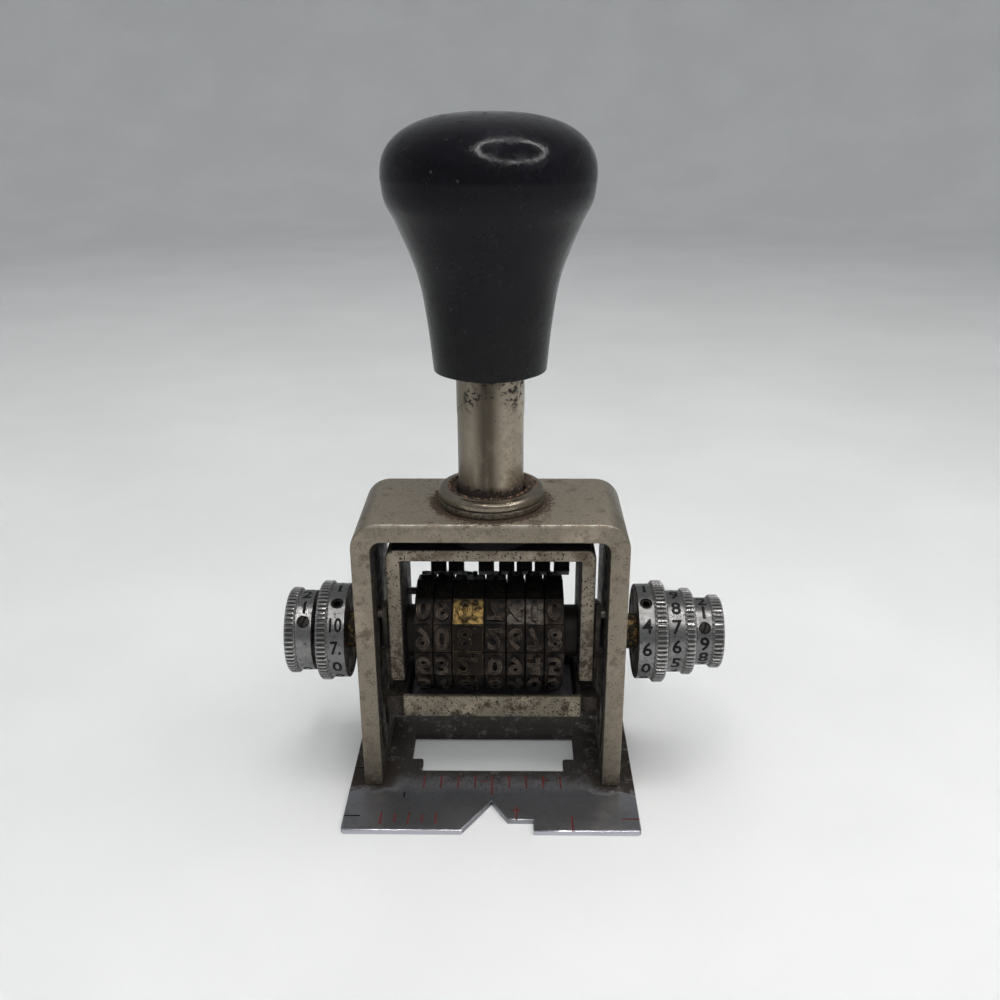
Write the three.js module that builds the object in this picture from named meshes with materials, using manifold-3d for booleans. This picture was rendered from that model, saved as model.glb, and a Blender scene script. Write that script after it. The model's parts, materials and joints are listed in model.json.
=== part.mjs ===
// Self-inking numbering stamp. A plunger pushes a carriage of seven type wheels down inside a yoke,
// while cam grooves in the yoke swing the ink tray out from under the type. Dials outside the yoke
// turn the wheels through coaxial shafts.
//
// Units are millimetres, +Z is up and the front, with the gauge marks, faces -Y. Pieces are modelled
// with the plunger's axis at x = y = 0 and the paper at z = 0. The finished group is then moved so
// that its origin is the middle of its footprint on the table.

import * as THREE from "three";
import { mergeVertices } from "three/addons/utils/BufferGeometryUtils.js";
import Module from "manifold-3d";

const wasm = await Module();
wasm.setup();

// ---------------------------------------------------------------- driving dimensions

const SEAT_GAP = 0.12; // between pieces that are fastened together
const RUNNING_GAP = 0.2; // between pieces that turn or slide on each other
const RELIEF_GAP = 0.4; // where a swinging piece passes a fixed edge
const PAPER_GAP = 0.24; // left under the type at the bottom of the stroke
const OVERCUT = 1; // how far a cutting tool runs past the face it cuts

const STROKE = 18.4;
const PAD_SWING = THREE.MathUtils.degToRad(92);

const TYPE_POSITIONS = 13;
const WHEEL_RADIUS = 11.86;
const WHEEL_WIDTHS = [3.55, 3.45, 6.0, 4.0, 3.45, 3.5, 3.75]; // left to right
const WHEEL_GAP = 0.25;
const WHEEL_FLANK_BEVEL = 0.3;
const DRUM_OFFSET = -0.4; // the row of wheels sits a little left of the plunger
const DRUM_SIDE_SPACE = 2.65; // from the row's ends to the carriage

const ROD_RADIUS = 1.5;
const INNER_TUBE_WALL = 0.8;
const OUTER_TUBE_WALL = 0.9;
const BUSH_WALL = 0.7;

const CARRIAGE = { depth: 18, side: 2.75, top: 2.5, cornerRadius: 2, innerRadius: 0.2, legBelowAxle: 6.5 };
const CARRIAGE_HEADROOM = 10.34; // from the top of the wheels to the top of the carriage
const BUFFER = { height: 2.5, radius: 10 };

const YOKE = { depth: 24.2, thickness: 3.76, outerRadius: 5.2, innerRadius: 2.0, armSpace: 2.28 };

const PLATE = { thickness: 1.02, sideMargin: 3.01, front: 25.6, back: 13.5, cornerRadius: 1 };
const PLATE_WINDOW = { endMargin: 2.6, backMargin: 1.0, shoulder: 3.0, tabInset: 2.4, front: 7.0 };
const PLATE_NOTCH = { left: -5.73, apex: 16.8, right: 3.27, shelf: 22.35, end: 8.3 };

const TUBE = { radius: 6.35, wall: 1.55, floor: 2.5 };
const PLUNGER_STUD_RADIUS = 3.2;
const NUT = { acrossCorners: 10, height: 1.7 };
const COLLAR = { radius: 10.2, height: 3.1, bandHeight: 1.2, rimRadius: 8.5, dishDepth: 1.5 };
const COLLAR_SPIGOT = { wall: 1.4, footAboveCeiling: 0.76 };
const CROSS_PIN = { radius: 1.2, halfLength: 9.4 };

const KNOB_CLEARANCE = 4.2; // between the knob and the collar at the bottom of the stroke
const KNOB = { height: 44.6, footRadius: 10.4, radius: 18.68, crownHeight: 10.6, crownPower: 2.5 };
const KNOB_SOCKET_DEPTH = 14.4;
const SPRING = { wireRadius: 0.5, turns: 10, plugHeight: 3.5 };

const TRAY = { endMargin: 3.6, depth: 17, drop: 3.34, height: 4.7, wall: 1.0, cornerRadius: 2.2 };
const PAD = { gap: 0.29, side: 0.35, cornerRadius: 1 }; // the gap is between the felt and the wheels
const ARM = { thickness: 1.0, gap: 0.34, hubRadius: 6.6, pinBossRadius: 2.2, footRadius: 3.0 };
const ARM_SHOE = { halfDepth: 7, rise: 1.5 }; // the broad foot that spaces an arm from the tray
const TRAY_RIVET = { aboveFloor: 2.3, shank: 1.0, shoulder: 1.9, head: 1.7, headHeight: 0.45 };
const CAM_PIN = { angle: THREE.MathUtils.degToRad(130), radius: 0.95 };
const CAM_GROOVE = { depth: 1.5, clearance: 0.3, frontWall: 1.55, steps: 8 };

const DETENT_BAR = { depth: 2, height: 2.7, inset: 0.7 };
const DETENT_SPRING = { width: 2.95, thickness: 0.5, clearance: 0.5, nose: 0.6, noseHeight: 0.7 };
const DETENT_SCREW = { inset: 5.25, shank: 0.8, head: 1.6, headHeight: 0.8, bite: 2.1 };
const PEG = { y: 4, aboveAxle: 6.9, radius: 0.75 };

const LEG_SCREW = { y: 7, shank: 0.95, head: 1.9, headHeight: 0.75, reach: 4.0 };
const SET_SCREW = { radius: 1.1, sink: 0.25 };

const DIAL_STANDOFF = 2.8; // from the yoke to the first dial on each side
const DIALS_LEFT = [
  { label: "left_inner", gap: 0, band: 3.5, bandRadius: 9.55, rim: 2.25, rimRadius: 10.1, screw: 62 },
  { label: "left_outer", gap: 1.05, band: 3.3, bandRadius: 8.1, rim: 2.1, rimRadius: 8.7, screw: 40 },
];
const DIALS_RIGHT = [
  { label: "right_inner", gap: 0, band: 3.3, bandRadius: 9.6, rim: 2.4, rimRadius: 10.3, screw: 63 },
  { label: "right_middle", gap: 0.25, band: 3.4, bandRadius: 8.25, rim: 2.05, rimRadius: 8.75, screw: 200 },
  { label: "right_outer", gap: 0.25, band: 3.3, bandRadius: 6.8, rim: 2.25, rimRadius: 7.4, screw: 34 },
];

// ---------------------------------------------------------------- places worked out from them

const axleZ = WHEEL_RADIUS + STROKE + PAPER_GAP;

const wheelsLength = WHEEL_WIDTHS.reduce((sum, width) => sum + width, 0);
const drumLength = wheelsLength + WHEEL_GAP * (WHEEL_WIDTHS.length - 1);
const drumLeft = DRUM_OFFSET - drumLength / 2;
const wheels = [];
WHEEL_WIDTHS.reduce((left, width) => {
  wheels.push({ left, right: left + width });
  return left + width + WHEEL_GAP;
}, drumLeft);

const innerTube = { inner: ROD_RADIUS + RUNNING_GAP };
innerTube.outer = innerTube.inner + INNER_TUBE_WALL;
const outerTube = { inner: innerTube.outer + RUNNING_GAP };
outerTube.outer = outerTube.inner + OUTER_TUBE_WALL;
const bush = { inner: outerTube.outer + RUNNING_GAP };
bush.outer = bush.inner + BUSH_WALL;

const carriageInner = drumLength / 2 + DRUM_SIDE_SPACE;
const carriageOuter = carriageInner + CARRIAGE.side;
const carriageTop = axleZ + WHEEL_RADIUS + CARRIAGE_HEADROOM;
const carriageCeiling = carriageTop - CARRIAGE.top;
const carriageBack = CARRIAGE.depth / 2;

const yokeInner = carriageOuter + YOKE.armSpace;
const yokeOuter = yokeInner + YOKE.thickness;
const yokeCeiling = carriageTop + BUFFER.height + 2 * SEAT_GAP;
const yokeTop = yokeCeiling + YOKE.thickness;

const plateHalfWidth = yokeOuter + PLATE.sideMargin;
const windowHalf = drumLength / 2 + PLATE_WINDOW.endMargin;
const tabHalf = windowHalf - PLATE_WINDOW.tabInset;
const typeSink = PLATE.thickness - PAPER_GAP; // how far the type reaches into the plate
const windowBack = Math.sqrt(2 * WHEEL_RADIUS * typeSink - typeSink ** 2) + PLATE_WINDOW.backMargin;

const tubeBore = TUBE.radius - TUBE.wall;
const collarBore = TUBE.radius + RUNNING_GAP;
const spigotRadius = collarBore + COLLAR_SPIGOT.wall;
const collarBase = yokeTop + SEAT_GAP;
const collarTop = collarBase + COLLAR.height;
const crossPinZ = yokeTop - SEAT_GAP - CROSS_PIN.radius;
const knobFoot = collarTop + STROKE + KNOB_CLEARANCE;
const tubeFloor = carriageTop + SEAT_GAP;
const tubeTop = knobFoot + KNOB_SOCKET_DEPTH - SEAT_GAP;

const armInner = carriageOuter + ARM.gap;
const armOuter = armInner + ARM.thickness;
const trayHalf = drumLength / 2 + TRAY.endMargin;
const trayFloor = axleZ - WHEEL_RADIUS - TRAY.drop;
const padTop = axleZ - WHEEL_RADIUS - PAD.gap;
const rivetZ = trayFloor + TRAY_RIVET.aboveFloor;
const grooveRadius = CAM_PIN.radius + CAM_GROOVE.clearance;
const camReach = YOKE.depth / 2 - CAM_GROOVE.frontWall - grooveRadius; // from the axle to the pin
const legSweep = Math.hypot(carriageBack, CARRIAGE.legBelowAxle); // from the axle to a leg's corner
const detentBarBack = carriageBack - DETENT_BAR.inset;

// ---------------------------------------------------------------- materials

function metal(color, roughness, metalness = 0.9) {
  return new THREE.MeshStandardMaterial({ color, roughness, metalness });
}

const NICKEL = metal(0xb3aa98, 0.38);
const PLATE_STEEL = metal(0x8e9096, 0.35);
const SATIN_CHROME = metal(0xb9bcbc, 0.42);
const DARK_STEEL = metal(0x2a2724, 0.6);
const TYPE_METAL = metal(0x33302e, 0.55);
const BRASS = metal(0xb08a45, 0.45);
const SCREW_STEEL = metal(0x4b4a48, 0.45);
const SPRING_STEEL = metal(0x6d6c6a, 0.4);
const BAKELITE = metal(0x141217, 0.18, 0);
const INK_FELT = metal(0x17141c, 0.95, 0);
const BUFFER_RUBBER = metal(0x1b1a19, 0.85, 0);

// ---------------------------------------------------------------- solid helpers

// A manifold-3d solid of a closed three.js geometry.
function solid(geometry) {
  const bare = geometry.index ? geometry.toNonIndexed() : geometry.clone();
  bare.deleteAttribute("normal");
  bare.deleteAttribute("uv");
  const merged = mergeVertices(bare, 1e-4);
  const corners = merged.index.array;
  const kept = [];
  for (let i = 0; i < corners.length; i += 3) {
    const [a, b, c] = corners.slice(i, i + 3);
    if (a !== b && b !== c && c !== a) kept.push(a, b, c);
  }
  const vertProperties = merged.attributes.position.array;
  return new wasm.Manifold(new wasm.Mesh({ numProp: 3, vertProperties, triVerts: new Uint32Array(kept) }));
}

// A named mesh of a manifold-3d solid.
function piece(name, body, material) {
  const { vertProperties, triVerts } = body.getMesh();
  const geometry = new THREE.BufferGeometry();
  geometry.setAttribute("position", new THREE.BufferAttribute(new Float32Array(vertProperties), 3));
  geometry.setIndex(new THREE.BufferAttribute(new Uint32Array(triVerts), 1));
  geometry.computeVertexNormals();
  const mesh = new THREE.Mesh(geometry, material);
  mesh.name = name;
  return mesh;
}

function box(x0, x1, y0, y1, z0, z1) {
  const geometry = new THREE.BoxGeometry(x1 - x0, y1 - y0, z1 - z0);
  geometry.translate((x0 + x1) / 2, (y0 + y1) / 2, (z0 + z1) / 2);
  return solid(geometry);
}

// A closed [radius, height] profile turned about the z axis, or about the x axis through the axle.
function turned(profile, sides = 20) {
  const points = profile.map(([radius, height]) => new THREE.Vector2(radius, height));
  return solid(new THREE.LatheGeometry(points, sides).rotateX(Math.PI / 2));
}

function turnedOnAxle(profile, sides = 20) {
  const points = profile.map(([radius, x]) => new THREE.Vector2(radius, x));
  const geometry = new THREE.LatheGeometry(points, sides).rotateZ(-Math.PI / 2);
  return solid(geometry.translate(0, 0, axleZ));
}

function post(radius, z0, z1, sides = 20) {
  const profile = [[0, z0], [radius, z0], [radius, z1], [0, z1]];
  return turned(profile, sides);
}

function sleeve(inner, outer, z0, z1, sides = 20) {
  return turned([[inner, z0], [outer, z0], [outer, z1], [inner, z1], [inner, z0]], sides);
}

function axleRod(radius, x0, x1, sides = 20) {
  return turnedOnAxle([[0, x0], [radius, x0], [radius, x1], [0, x1]], sides);
}

function axleSleeve(inner, outer, x0, x1, sides = 20) {
  return turnedOnAxle([[inner, x0], [outer, x0], [outer, x1], [inner, x1], [inner, x0]], sides);
}

// A rod along x at any height.
function crossRod(radius, x0, x1, y, z, sides = 12) {
  return axleRod(radius, x0, x1, sides).translate([0, y, z - axleZ]);
}

// A flat outline drawn in x and z, made y0 to y1 deep.
function slabAlongY(shape, y0, y1, curveSegments = 6) {
  const geometry = new THREE.ExtrudeGeometry(shape, { depth: y1 - y0, bevelEnabled: false, curveSegments });
  return solid(geometry.rotateX(Math.PI / 2).translate(0, y1, 0));
}

// A flat outline drawn in x and y, made z0 to z1 high.
function slabAlongZ(shape, z0, z1, curveSegments = 6) {
  const geometry = new THREE.ExtrudeGeometry(shape, { depth: z1 - z0, bevelEnabled: false, curveSegments });
  return solid(geometry.translate(0, 0, z0));
}

// A flat outline drawn in y and z, made x0 to x1 thick.
function slabAlongX(shape, x0, x1, curveSegments = 8) {
  const geometry = new THREE.ExtrudeGeometry(shape, { depth: x1 - x0, bevelEnabled: false, curveSegments });
  geometry.applyMatrix4(new THREE.Matrix4().set(0, 0, 1, x0, 1, 0, 0, 0, 0, 1, 0, 0, 0, 0, 0, 1));
  return solid(geometry);
}

function mirroredX(body) {
  return body.mirror([1, 0, 0]);
}

function disc(x, y, radius) {
  const shape = new THREE.Shape();
  shape.absarc(x, y, radius, 0, 2 * Math.PI);
  return shape;
}

// A rectangle with the same round at all four corners.
function roundedRectangle(halfWidth, halfHeight, radius) {
  const shape = new THREE.Shape();
  shape.absarc(halfWidth - radius, -halfHeight + radius, radius, -Math.PI / 2, 0);
  shape.absarc(halfWidth - radius, halfHeight - radius, radius, 0, Math.PI / 2);
  shape.absarc(-halfWidth + radius, halfHeight - radius, radius, Math.PI / 2, Math.PI);
  shape.absarc(-halfWidth + radius, -halfHeight + radius, radius, Math.PI, 1.5 * Math.PI);
  return shape;
}

// An upside-down U that stands on z = foot, with rounds at its outer and inner corners.
function archShape(outer, inner, foot, top, ceiling, outerRadius, innerRadius) {
  const shape = new THREE.Shape();
  shape.moveTo(inner, foot);
  shape.lineTo(outer, foot);
  shape.absarc(outer - outerRadius, top - outerRadius, outerRadius, 0, Math.PI / 2);
  shape.absarc(-outer + outerRadius, top - outerRadius, outerRadius, Math.PI / 2, Math.PI);
  shape.lineTo(-outer, foot);
  shape.lineTo(-inner, foot);
  shape.absarc(-inner + innerRadius, ceiling - innerRadius, innerRadius, Math.PI, Math.PI / 2, true);
  shape.absarc(inner - innerRadius, ceiling - innerRadius, innerRadius, Math.PI / 2, 0, true);
  return shape;
}

// ---------------------------------------------------------------- base and yoke

function legScrewPlaces() {
  const x = (yokeInner + yokeOuter) / 2;
  return [[-x, -LEG_SCREW.y], [x, -LEG_SCREW.y], [-x, LEG_SCREW.y], [x, LEG_SCREW.y]];
}

// The gauge plate, cut away for the type and notched in front to sight the print position.
function basePlate() {
  const half = plateHalfWidth;
  const r = PLATE.cornerRadius;
  const front = -PLATE.front;
  const outline = new THREE.Shape();
  outline.moveTo(PLATE_NOTCH.end, -PLATE_NOTCH.shelf);
  outline.lineTo(PLATE_NOTCH.end, front);
  outline.absarc(half - r, front + r, r, -Math.PI / 2, 0);
  outline.absarc(half - r, PLATE.back - r, r, 0, Math.PI / 2);
  outline.absarc(-half + r, PLATE.back - r, r, Math.PI / 2, Math.PI);
  outline.absarc(-half + r, front + r, r, Math.PI, 1.5 * Math.PI);
  outline.lineTo(PLATE_NOTCH.left, front);
  outline.lineTo(0, -PLATE_NOTCH.apex);
  outline.lineTo(PLATE_NOTCH.right, -PLATE_NOTCH.shelf);

  const { shoulder, front: windowFront } = PLATE_WINDOW;
  const window = new THREE.Path();
  window.moveTo(-windowHalf, -shoulder);
  window.lineTo(-windowHalf, windowBack);
  window.lineTo(windowHalf, windowBack);
  window.lineTo(windowHalf, -shoulder);
  window.lineTo(tabHalf, -shoulder);
  window.lineTo(tabHalf, -windowFront);
  window.lineTo(-tabHalf, -windowFront);
  window.lineTo(-tabHalf, -shoulder);
  outline.holes.push(window);

  let plate = slabAlongZ(outline, 0, PLATE.thickness, 3);
  for (const [x, y] of legScrewPlaces()) {
    plate = plate.subtract(legScrewBody(x, y, SEAT_GAP, OVERCUT));
  }
  return piece("base_plate", plate, PLATE_STEEL);
}

// A countersunk screw up through the plate. With a gap and an overcut it is the hole that takes it.
function legScrewBody(x, y, gap = 0, overcut = 0) {
  const { head, shank, headHeight, reach } = LEG_SCREW;
  const low = 0.05 - overcut;
  const profile = [
    [0, low],
    [head + gap, low],
    [head + gap, 0.15],
    [shank + gap, headHeight],
    [shank + gap, reach + gap],
    [0, reach + gap],
  ];
  return turned(profile, 12).translate([x, y, 0]);
}

function legScrews() {
  const names = ["front_left", "front_right", "back_left", "back_right"];
  return legScrewPlaces().map(([x, y], i) => piece(`leg_screw_${names[i]}`, legScrewBody(x, y), SCREW_STEEL));
}

// The follower pin's centre when the plunger is down by a given travel.
function camPinPlace(travel) {
  const angle = CAM_PIN.angle + (PAD_SWING * travel) / STROKE;
  return [camReach * Math.cos(angle), axleZ - travel + camReach * Math.sin(angle)];
}

// The groove that the follower pin runs in, as short round-ended stretches.
function camGroove(x0, x1) {
  const stops = [];
  for (let i = 0; i <= CAM_GROOVE.steps; i++) {
    const [y, z] = camPinPlace((STROKE * i) / CAM_GROOVE.steps);
    stops.push(crossRod(grooveRadius, x0, x1, y, z, 8));
  }
  let groove = stops[0];
  for (let i = 1; i < stops.length; i++) {
    groove = groove.add(wasm.Manifold.hull([stops[i - 1], stops[i]]));
  }
  return groove;
}

// The slot that lets the shafts travel down through a leg.
function shaftSlot(x0, x1) {
  const radius = outerTube.outer + 2 * RUNNING_GAP;
  const high = crossRod(radius, x0, x1, 0, axleZ, 20);
  const low = crossRod(radius, x0, x1, 0, axleZ - STROKE, 20);
  return wasm.Manifold.hull([high, low]);
}

function yoke() {
  const { outerRadius, innerRadius } = YOKE;
  const foot = PLATE.thickness + SEAT_GAP;
  const arch = archShape(yokeOuter, yokeInner, foot, yokeTop, yokeCeiling, outerRadius, innerRadius);
  let body = slabAlongY(arch, -YOKE.depth / 2, YOKE.depth / 2);
  body = body.subtract(post(spigotRadius + SEAT_GAP, yokeCeiling - OVERCUT, yokeTop + OVERCUT, 28));

  const pinHalf = CROSS_PIN.halfLength + SEAT_GAP;
  const pinSide = CROSS_PIN.radius + SEAT_GAP;
  body = body.subtract(box(-pinHalf, pinHalf, -pinSide, pinSide, crossPinZ - pinSide, yokeTop + OVERCUT));

  const slot = shaftSlot(yokeInner - OVERCUT, yokeOuter + OVERCUT);
  const groove = camGroove(yokeInner - OVERCUT, yokeInner + CAM_GROOVE.depth);
  for (const cut of [slot, groove]) {
    body = body.subtract(cut).subtract(mirroredX(cut));
  }
  for (const [x, y] of legScrewPlaces()) {
    body = body.subtract(legScrewBody(x, y, SEAT_GAP, OVERCUT));
  }
  return piece("yoke", body, NICKEL);
}

// The raised collar that guides the plunger. Its spigot sits in the yoke, notched over the cross pin.
function guideCollar() {
  const { radius, rimRadius, bandHeight, dishDepth } = COLLAR;
  const lip = collarBase + bandHeight;
  const spigotFoot = yokeCeiling + COLLAR_SPIGOT.footAboveCeiling;
  const profile = [
    [collarBore, spigotFoot],
    [spigotRadius, spigotFoot],
    [spigotRadius, collarBase],
    [radius, collarBase],
    [radius, lip],
    [radius - 0.4, lip + 0.15],
    [radius - 0.05, lip + 0.55],
    [radius - 0.35, collarTop - 0.45],
    [radius - 1.0, collarTop],
    [rimRadius, collarTop - 0.1],
    [collarBore + 0.3, collarTop - dishDepth],
    [collarBore, collarTop - dishDepth - 0.3],
    [collarBore, spigotFoot],
  ];
  const notchSide = CROSS_PIN.radius + SEAT_GAP;
  const notchReach = spigotRadius + OVERCUT;
  const notch = box(-notchReach, notchReach, -notchSide, notchSide, spigotFoot - OVERCUT, yokeTop);
  return piece("guide_collar", turned(profile, 28).subtract(notch), NICKEL);
}

// Lies in the groove under the collar, crosses the plunger's slots and carries the return spring.
function springCrossPin() {
  const body = crossRod(CROSS_PIN.radius, -CROSS_PIN.halfLength, CROSS_PIN.halfLength, 0, crossPinZ);
  return piece("spring_cross_pin", body, SCREW_STEEL);
}

class Helix extends THREE.Curve {
  constructor(radius, z0, z1, turns) {
    super();
    Object.assign(this, { radius, z0, z1, turns });
  }

  getPoint(t, target = new THREE.Vector3()) {
    const angle = 2 * Math.PI * this.turns * t;
    const z = THREE.MathUtils.lerp(this.z0, this.z1, t);
    return target.set(this.radius * Math.cos(angle), this.radius * Math.sin(angle), z);
  }
}

function springSpan() {
  const low = crossPinZ + CROSS_PIN.radius + SEAT_GAP + SPRING.wireRadius;
  const high = tubeTop - SPRING.plugHeight - SEAT_GAP - SPRING.wireRadius;
  return [low, high];
}

// The spring that lifts the plunger, hidden inside its tube.
function returnSpring() {
  const { wireRadius, turns } = SPRING;
  const coilRadius = tubeBore - wireRadius - RUNNING_GAP;
  const path = new Helix(coilRadius, ...springSpan(), turns);
  const wire = disc(0, 0, wireRadius);
  const options = { extrudePath: path, steps: turns * 8, curveSegments: 3, bevelEnabled: false };
  return piece("return_spring", solid(new THREE.ExtrudeGeometry(wire, options)), SPRING_STEEL);
}

// ---------------------------------------------------------------- carriage and plunger

// The inner strap that carries the axle bushes, the detents and the plunger.
function carriageFrame() {
  const foot = axleZ - CARRIAGE.legBelowAxle;
  const [sides, heights] = [[carriageOuter, carriageInner], [foot, carriageTop, carriageCeiling]];
  const arch = archShape(...sides, ...heights, CARRIAGE.cornerRadius, CARRIAGE.innerRadius);
  let body = slabAlongY(arch, -carriageBack, carriageBack, 4);
  body = body.subtract(axleRod(bush.outer + SEAT_GAP, -carriageOuter - OVERCUT, carriageOuter + OVERCUT));
  const studHole = PLUNGER_STUD_RADIUS + SEAT_GAP;
  body = body.subtract(post(studHole, carriageCeiling - OVERCUT, carriageTop + OVERCUT));
  for (const side of [-1, 1]) {
    body = body.subtract(detentScrewBody(side, SEAT_GAP, OVERCUT));
  }
  body = body.subtract(pegBody(SEAT_GAP, OVERCUT));
  return piece("carriage_frame", body, DARK_STEEL);
}

// A peg in the left side of the carriage that keeps the first wheel from creeping sideways.
function pegBody(gap = 0, overcut = 0) {
  const x0 = -carriageOuter + SEAT_GAP - overcut;
  const x1 = drumLeft - RUNNING_GAP;
  return crossRod(PEG.radius + gap, x0, x1, PEG.y, axleZ + PEG.aboveAxle);
}

function retainingPeg() {
  return piece("retaining_peg", pegBody(), SCREW_STEEL);
}

// A flanged bush in each side of the carriage. The tray arm turns on its outer end.
function bearingBush(side, drumEnd) {
  const outerEnd = armOuter + RUNNING_GAP;
  const innerEnd = Math.abs(drumEnd) + RUNNING_GAP;
  const body = axleSleeve(bush.inner, bush.outer, innerEnd, outerEnd);
  return piece(`bearing_bush_${side}`, side === "left" ? mirroredX(body) : body, BRASS);
}

// The plunger's tube, slotted on both sides for the cross pin, with a threaded stud below.
function plungerTube() {
  const studFoot = carriageCeiling - SEAT_GAP - NUT.height - 0.4;
  const boreFloor = tubeFloor + TUBE.floor;
  const profile = [
    [0, studFoot],
    [PLUNGER_STUD_RADIUS, studFoot],
    [PLUNGER_STUD_RADIUS, tubeFloor],
    [TUBE.radius, tubeFloor],
    [TUBE.radius, tubeTop],
    [tubeBore, tubeTop],
    [tubeBore, boreFloor],
    [0, boreFloor],
  ];
  const slotSide = CROSS_PIN.radius + RUNNING_GAP;
  const slotFoot = crossPinZ - CROSS_PIN.radius - RUNNING_GAP;
  const slotHead = crossPinZ + STROKE + CROSS_PIN.radius + RUNNING_GAP;
  const reach = TUBE.radius + OVERCUT;
  const slot = box(-reach, reach, -slotSide, slotSide, slotFoot, slotHead);
  return piece("plunger_tube", turned(profile, 28).subtract(slot), NICKEL);
}

function plungerNut() {
  const top = carriageCeiling - SEAT_GAP;
  const body = post(NUT.acrossCorners / 2, top - NUT.height, top, 6);
  const hole = post(PLUNGER_STUD_RADIUS + SEAT_GAP, top - NUT.height - OVERCUT, top + OVERCUT);
  return piece("plunger_nut", body.subtract(hole), SCREW_STEEL);
}

function bufferWasher() {
  const bottom = carriageTop + SEAT_GAP;
  const body = sleeve(collarBore, BUFFER.radius, bottom, bottom + BUFFER.height);
  return piece("buffer_washer", body, BUFFER_RUBBER);
}

// Screwed into the top of the tube, where it holds the spring's upper end.
function springPlug() {
  const body = post(tubeBore - SEAT_GAP, tubeTop - SPRING.plugHeight, tubeTop - SEAT_GAP);
  return piece("spring_plug", body, SCREW_STEEL);
}

// The mushroom knob: a flared stem under a crown whose section is a superellipse.
function handleKnob() {
  const beltZ = KNOB.height - KNOB.crownHeight;
  const flare = new THREE.SplineCurve([
    new THREE.Vector2(KNOB.footRadius, 0.5),
    new THREE.Vector2(0.604 * KNOB.radius, 0.267 * beltZ),
    new THREE.Vector2(0.685 * KNOB.radius, 0.52 * beltZ),
    new THREE.Vector2(0.857 * KNOB.radius, 0.765 * beltZ),
    new THREE.Vector2(0.965 * KNOB.radius, 0.885 * beltZ),
    new THREE.Vector2(KNOB.radius, beltZ),
  ]);
  const profile = [[0, knobFoot], [KNOB.footRadius - 0.5, knobFoot]];
  for (const point of flare.getPoints(9)) {
    profile.push([point.x, knobFoot + point.y]);
  }
  const crownSteps = 6;
  for (let i = 1; i <= crownSteps; i++) {
    const rise = Math.sin((Math.PI / 2) * (i / crownSteps));
    const spread = Math.max(0, 1 - rise ** KNOB.crownPower) ** (1 / KNOB.crownPower);
    profile.push([i === crownSteps ? 0 : KNOB.radius * spread, knobFoot + beltZ + rise * KNOB.crownHeight]);
  }
  const socket = post(TUBE.radius + SEAT_GAP, knobFoot - OVERCUT, knobFoot + KNOB_SOCKET_DEPTH, 28);
  return piece("handle_knob", turned(profile, 32).subtract(socket), BAKELITE);
}

// ---------------------------------------------------------------- detents

function detentScrewBody(side, gap = 0, overcut = 0) {
  const { inset, shank, head, headHeight, bite } = DETENT_SCREW;
  const y = detentBarBack - DETENT_BAR.depth / 2;
  const seat = carriageTop + SEAT_GAP;
  const foot = carriageCeiling - bite;
  const profile = [
    [0, foot - gap],
    [shank + gap, foot - gap],
    [shank + gap, seat],
    [head + gap, seat],
    [head + gap, seat + headHeight + overcut],
    [0, seat + headHeight + overcut],
  ];
  return turned(profile, 12).translate([side * (carriageInner - inset), y, 0]);
}

function detentScrews() {
  return [-1, 1].map((side) => {
    return piece(`detent_screw_${side < 0 ? "left" : "right"}`, detentScrewBody(side), SCREW_STEEL);
  });
}

function detentBar() {
  const top = carriageCeiling - SEAT_GAP;
  const half = carriageInner - SEAT_GAP;
  const front = detentBarBack - DETENT_BAR.depth;
  let body = box(-half, half, front, detentBarBack, top - DETENT_BAR.height, top);
  for (const side of [-1, 1]) {
    body = body.subtract(detentScrewBody(side, SEAT_GAP));
  }
  return piece("detent_bar", body, DARK_STEEL);
}

// One leaf spring for each wheel, hanging from the bar, with a nose that drops between two types.
function detentSpring(index) {
  const { width, thickness, clearance, nose, noseHeight } = DETENT_SPRING;
  const centre = wheels[index].right + WHEEL_GAP / 2;
  const near = detentBarBack + SEAT_GAP;
  const far = near + thickness;
  const top = carriageCeiling - SEAT_GAP;
  const tip = axleZ + Math.sqrt((WHEEL_RADIUS + clearance) ** 2 - near ** 2);
  const leaf = new THREE.Shape();
  leaf.moveTo(near, top);
  leaf.lineTo(near, tip + 2 * noseHeight);
  leaf.lineTo(near - nose, tip + noseHeight);
  leaf.lineTo(near, tip);
  leaf.lineTo(far, tip);
  leaf.lineTo(far, top);
  const body = slabAlongX(leaf, centre - width / 2, centre + width / 2);
  return piece(`detent_spring_${index + 1}`, body, SPRING_STEEL);
}

// ---------------------------------------------------------------- type wheels, shafts and dials

// A wheel with one flat for each type and one flat facing the paper.
function typeWheel(index, boreRadius, material) {
  const { left, right } = wheels[index];
  const bevel = WHEEL_FLANK_BEVEL;
  const profile = [
    [0, left],
    [WHEEL_RADIUS - bevel, left],
    [WHEEL_RADIUS, left + bevel],
    [WHEEL_RADIUS, right - bevel],
    [WHEEL_RADIUS - bevel, right],
    [0, right],
  ];
  const drum = turnedOnAxle(profile, TYPE_POSITIONS);
  const bore = axleRod(boreRadius, left - OVERCUT, right + OVERCUT);
  return piece(`type_wheel_${index + 1}`, drum.subtract(bore), material);
}

// Where each dial of a stack begins and ends, counted outwards from the yoke.
function stacked(dials) {
  let edge = yokeOuter + DIAL_STANDOFF;
  return dials.map((dial) => {
    const start = edge + dial.gap;
    edge = start + dial.band + dial.rim;
    return { ...dial, start, end: edge };
  });
}

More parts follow.
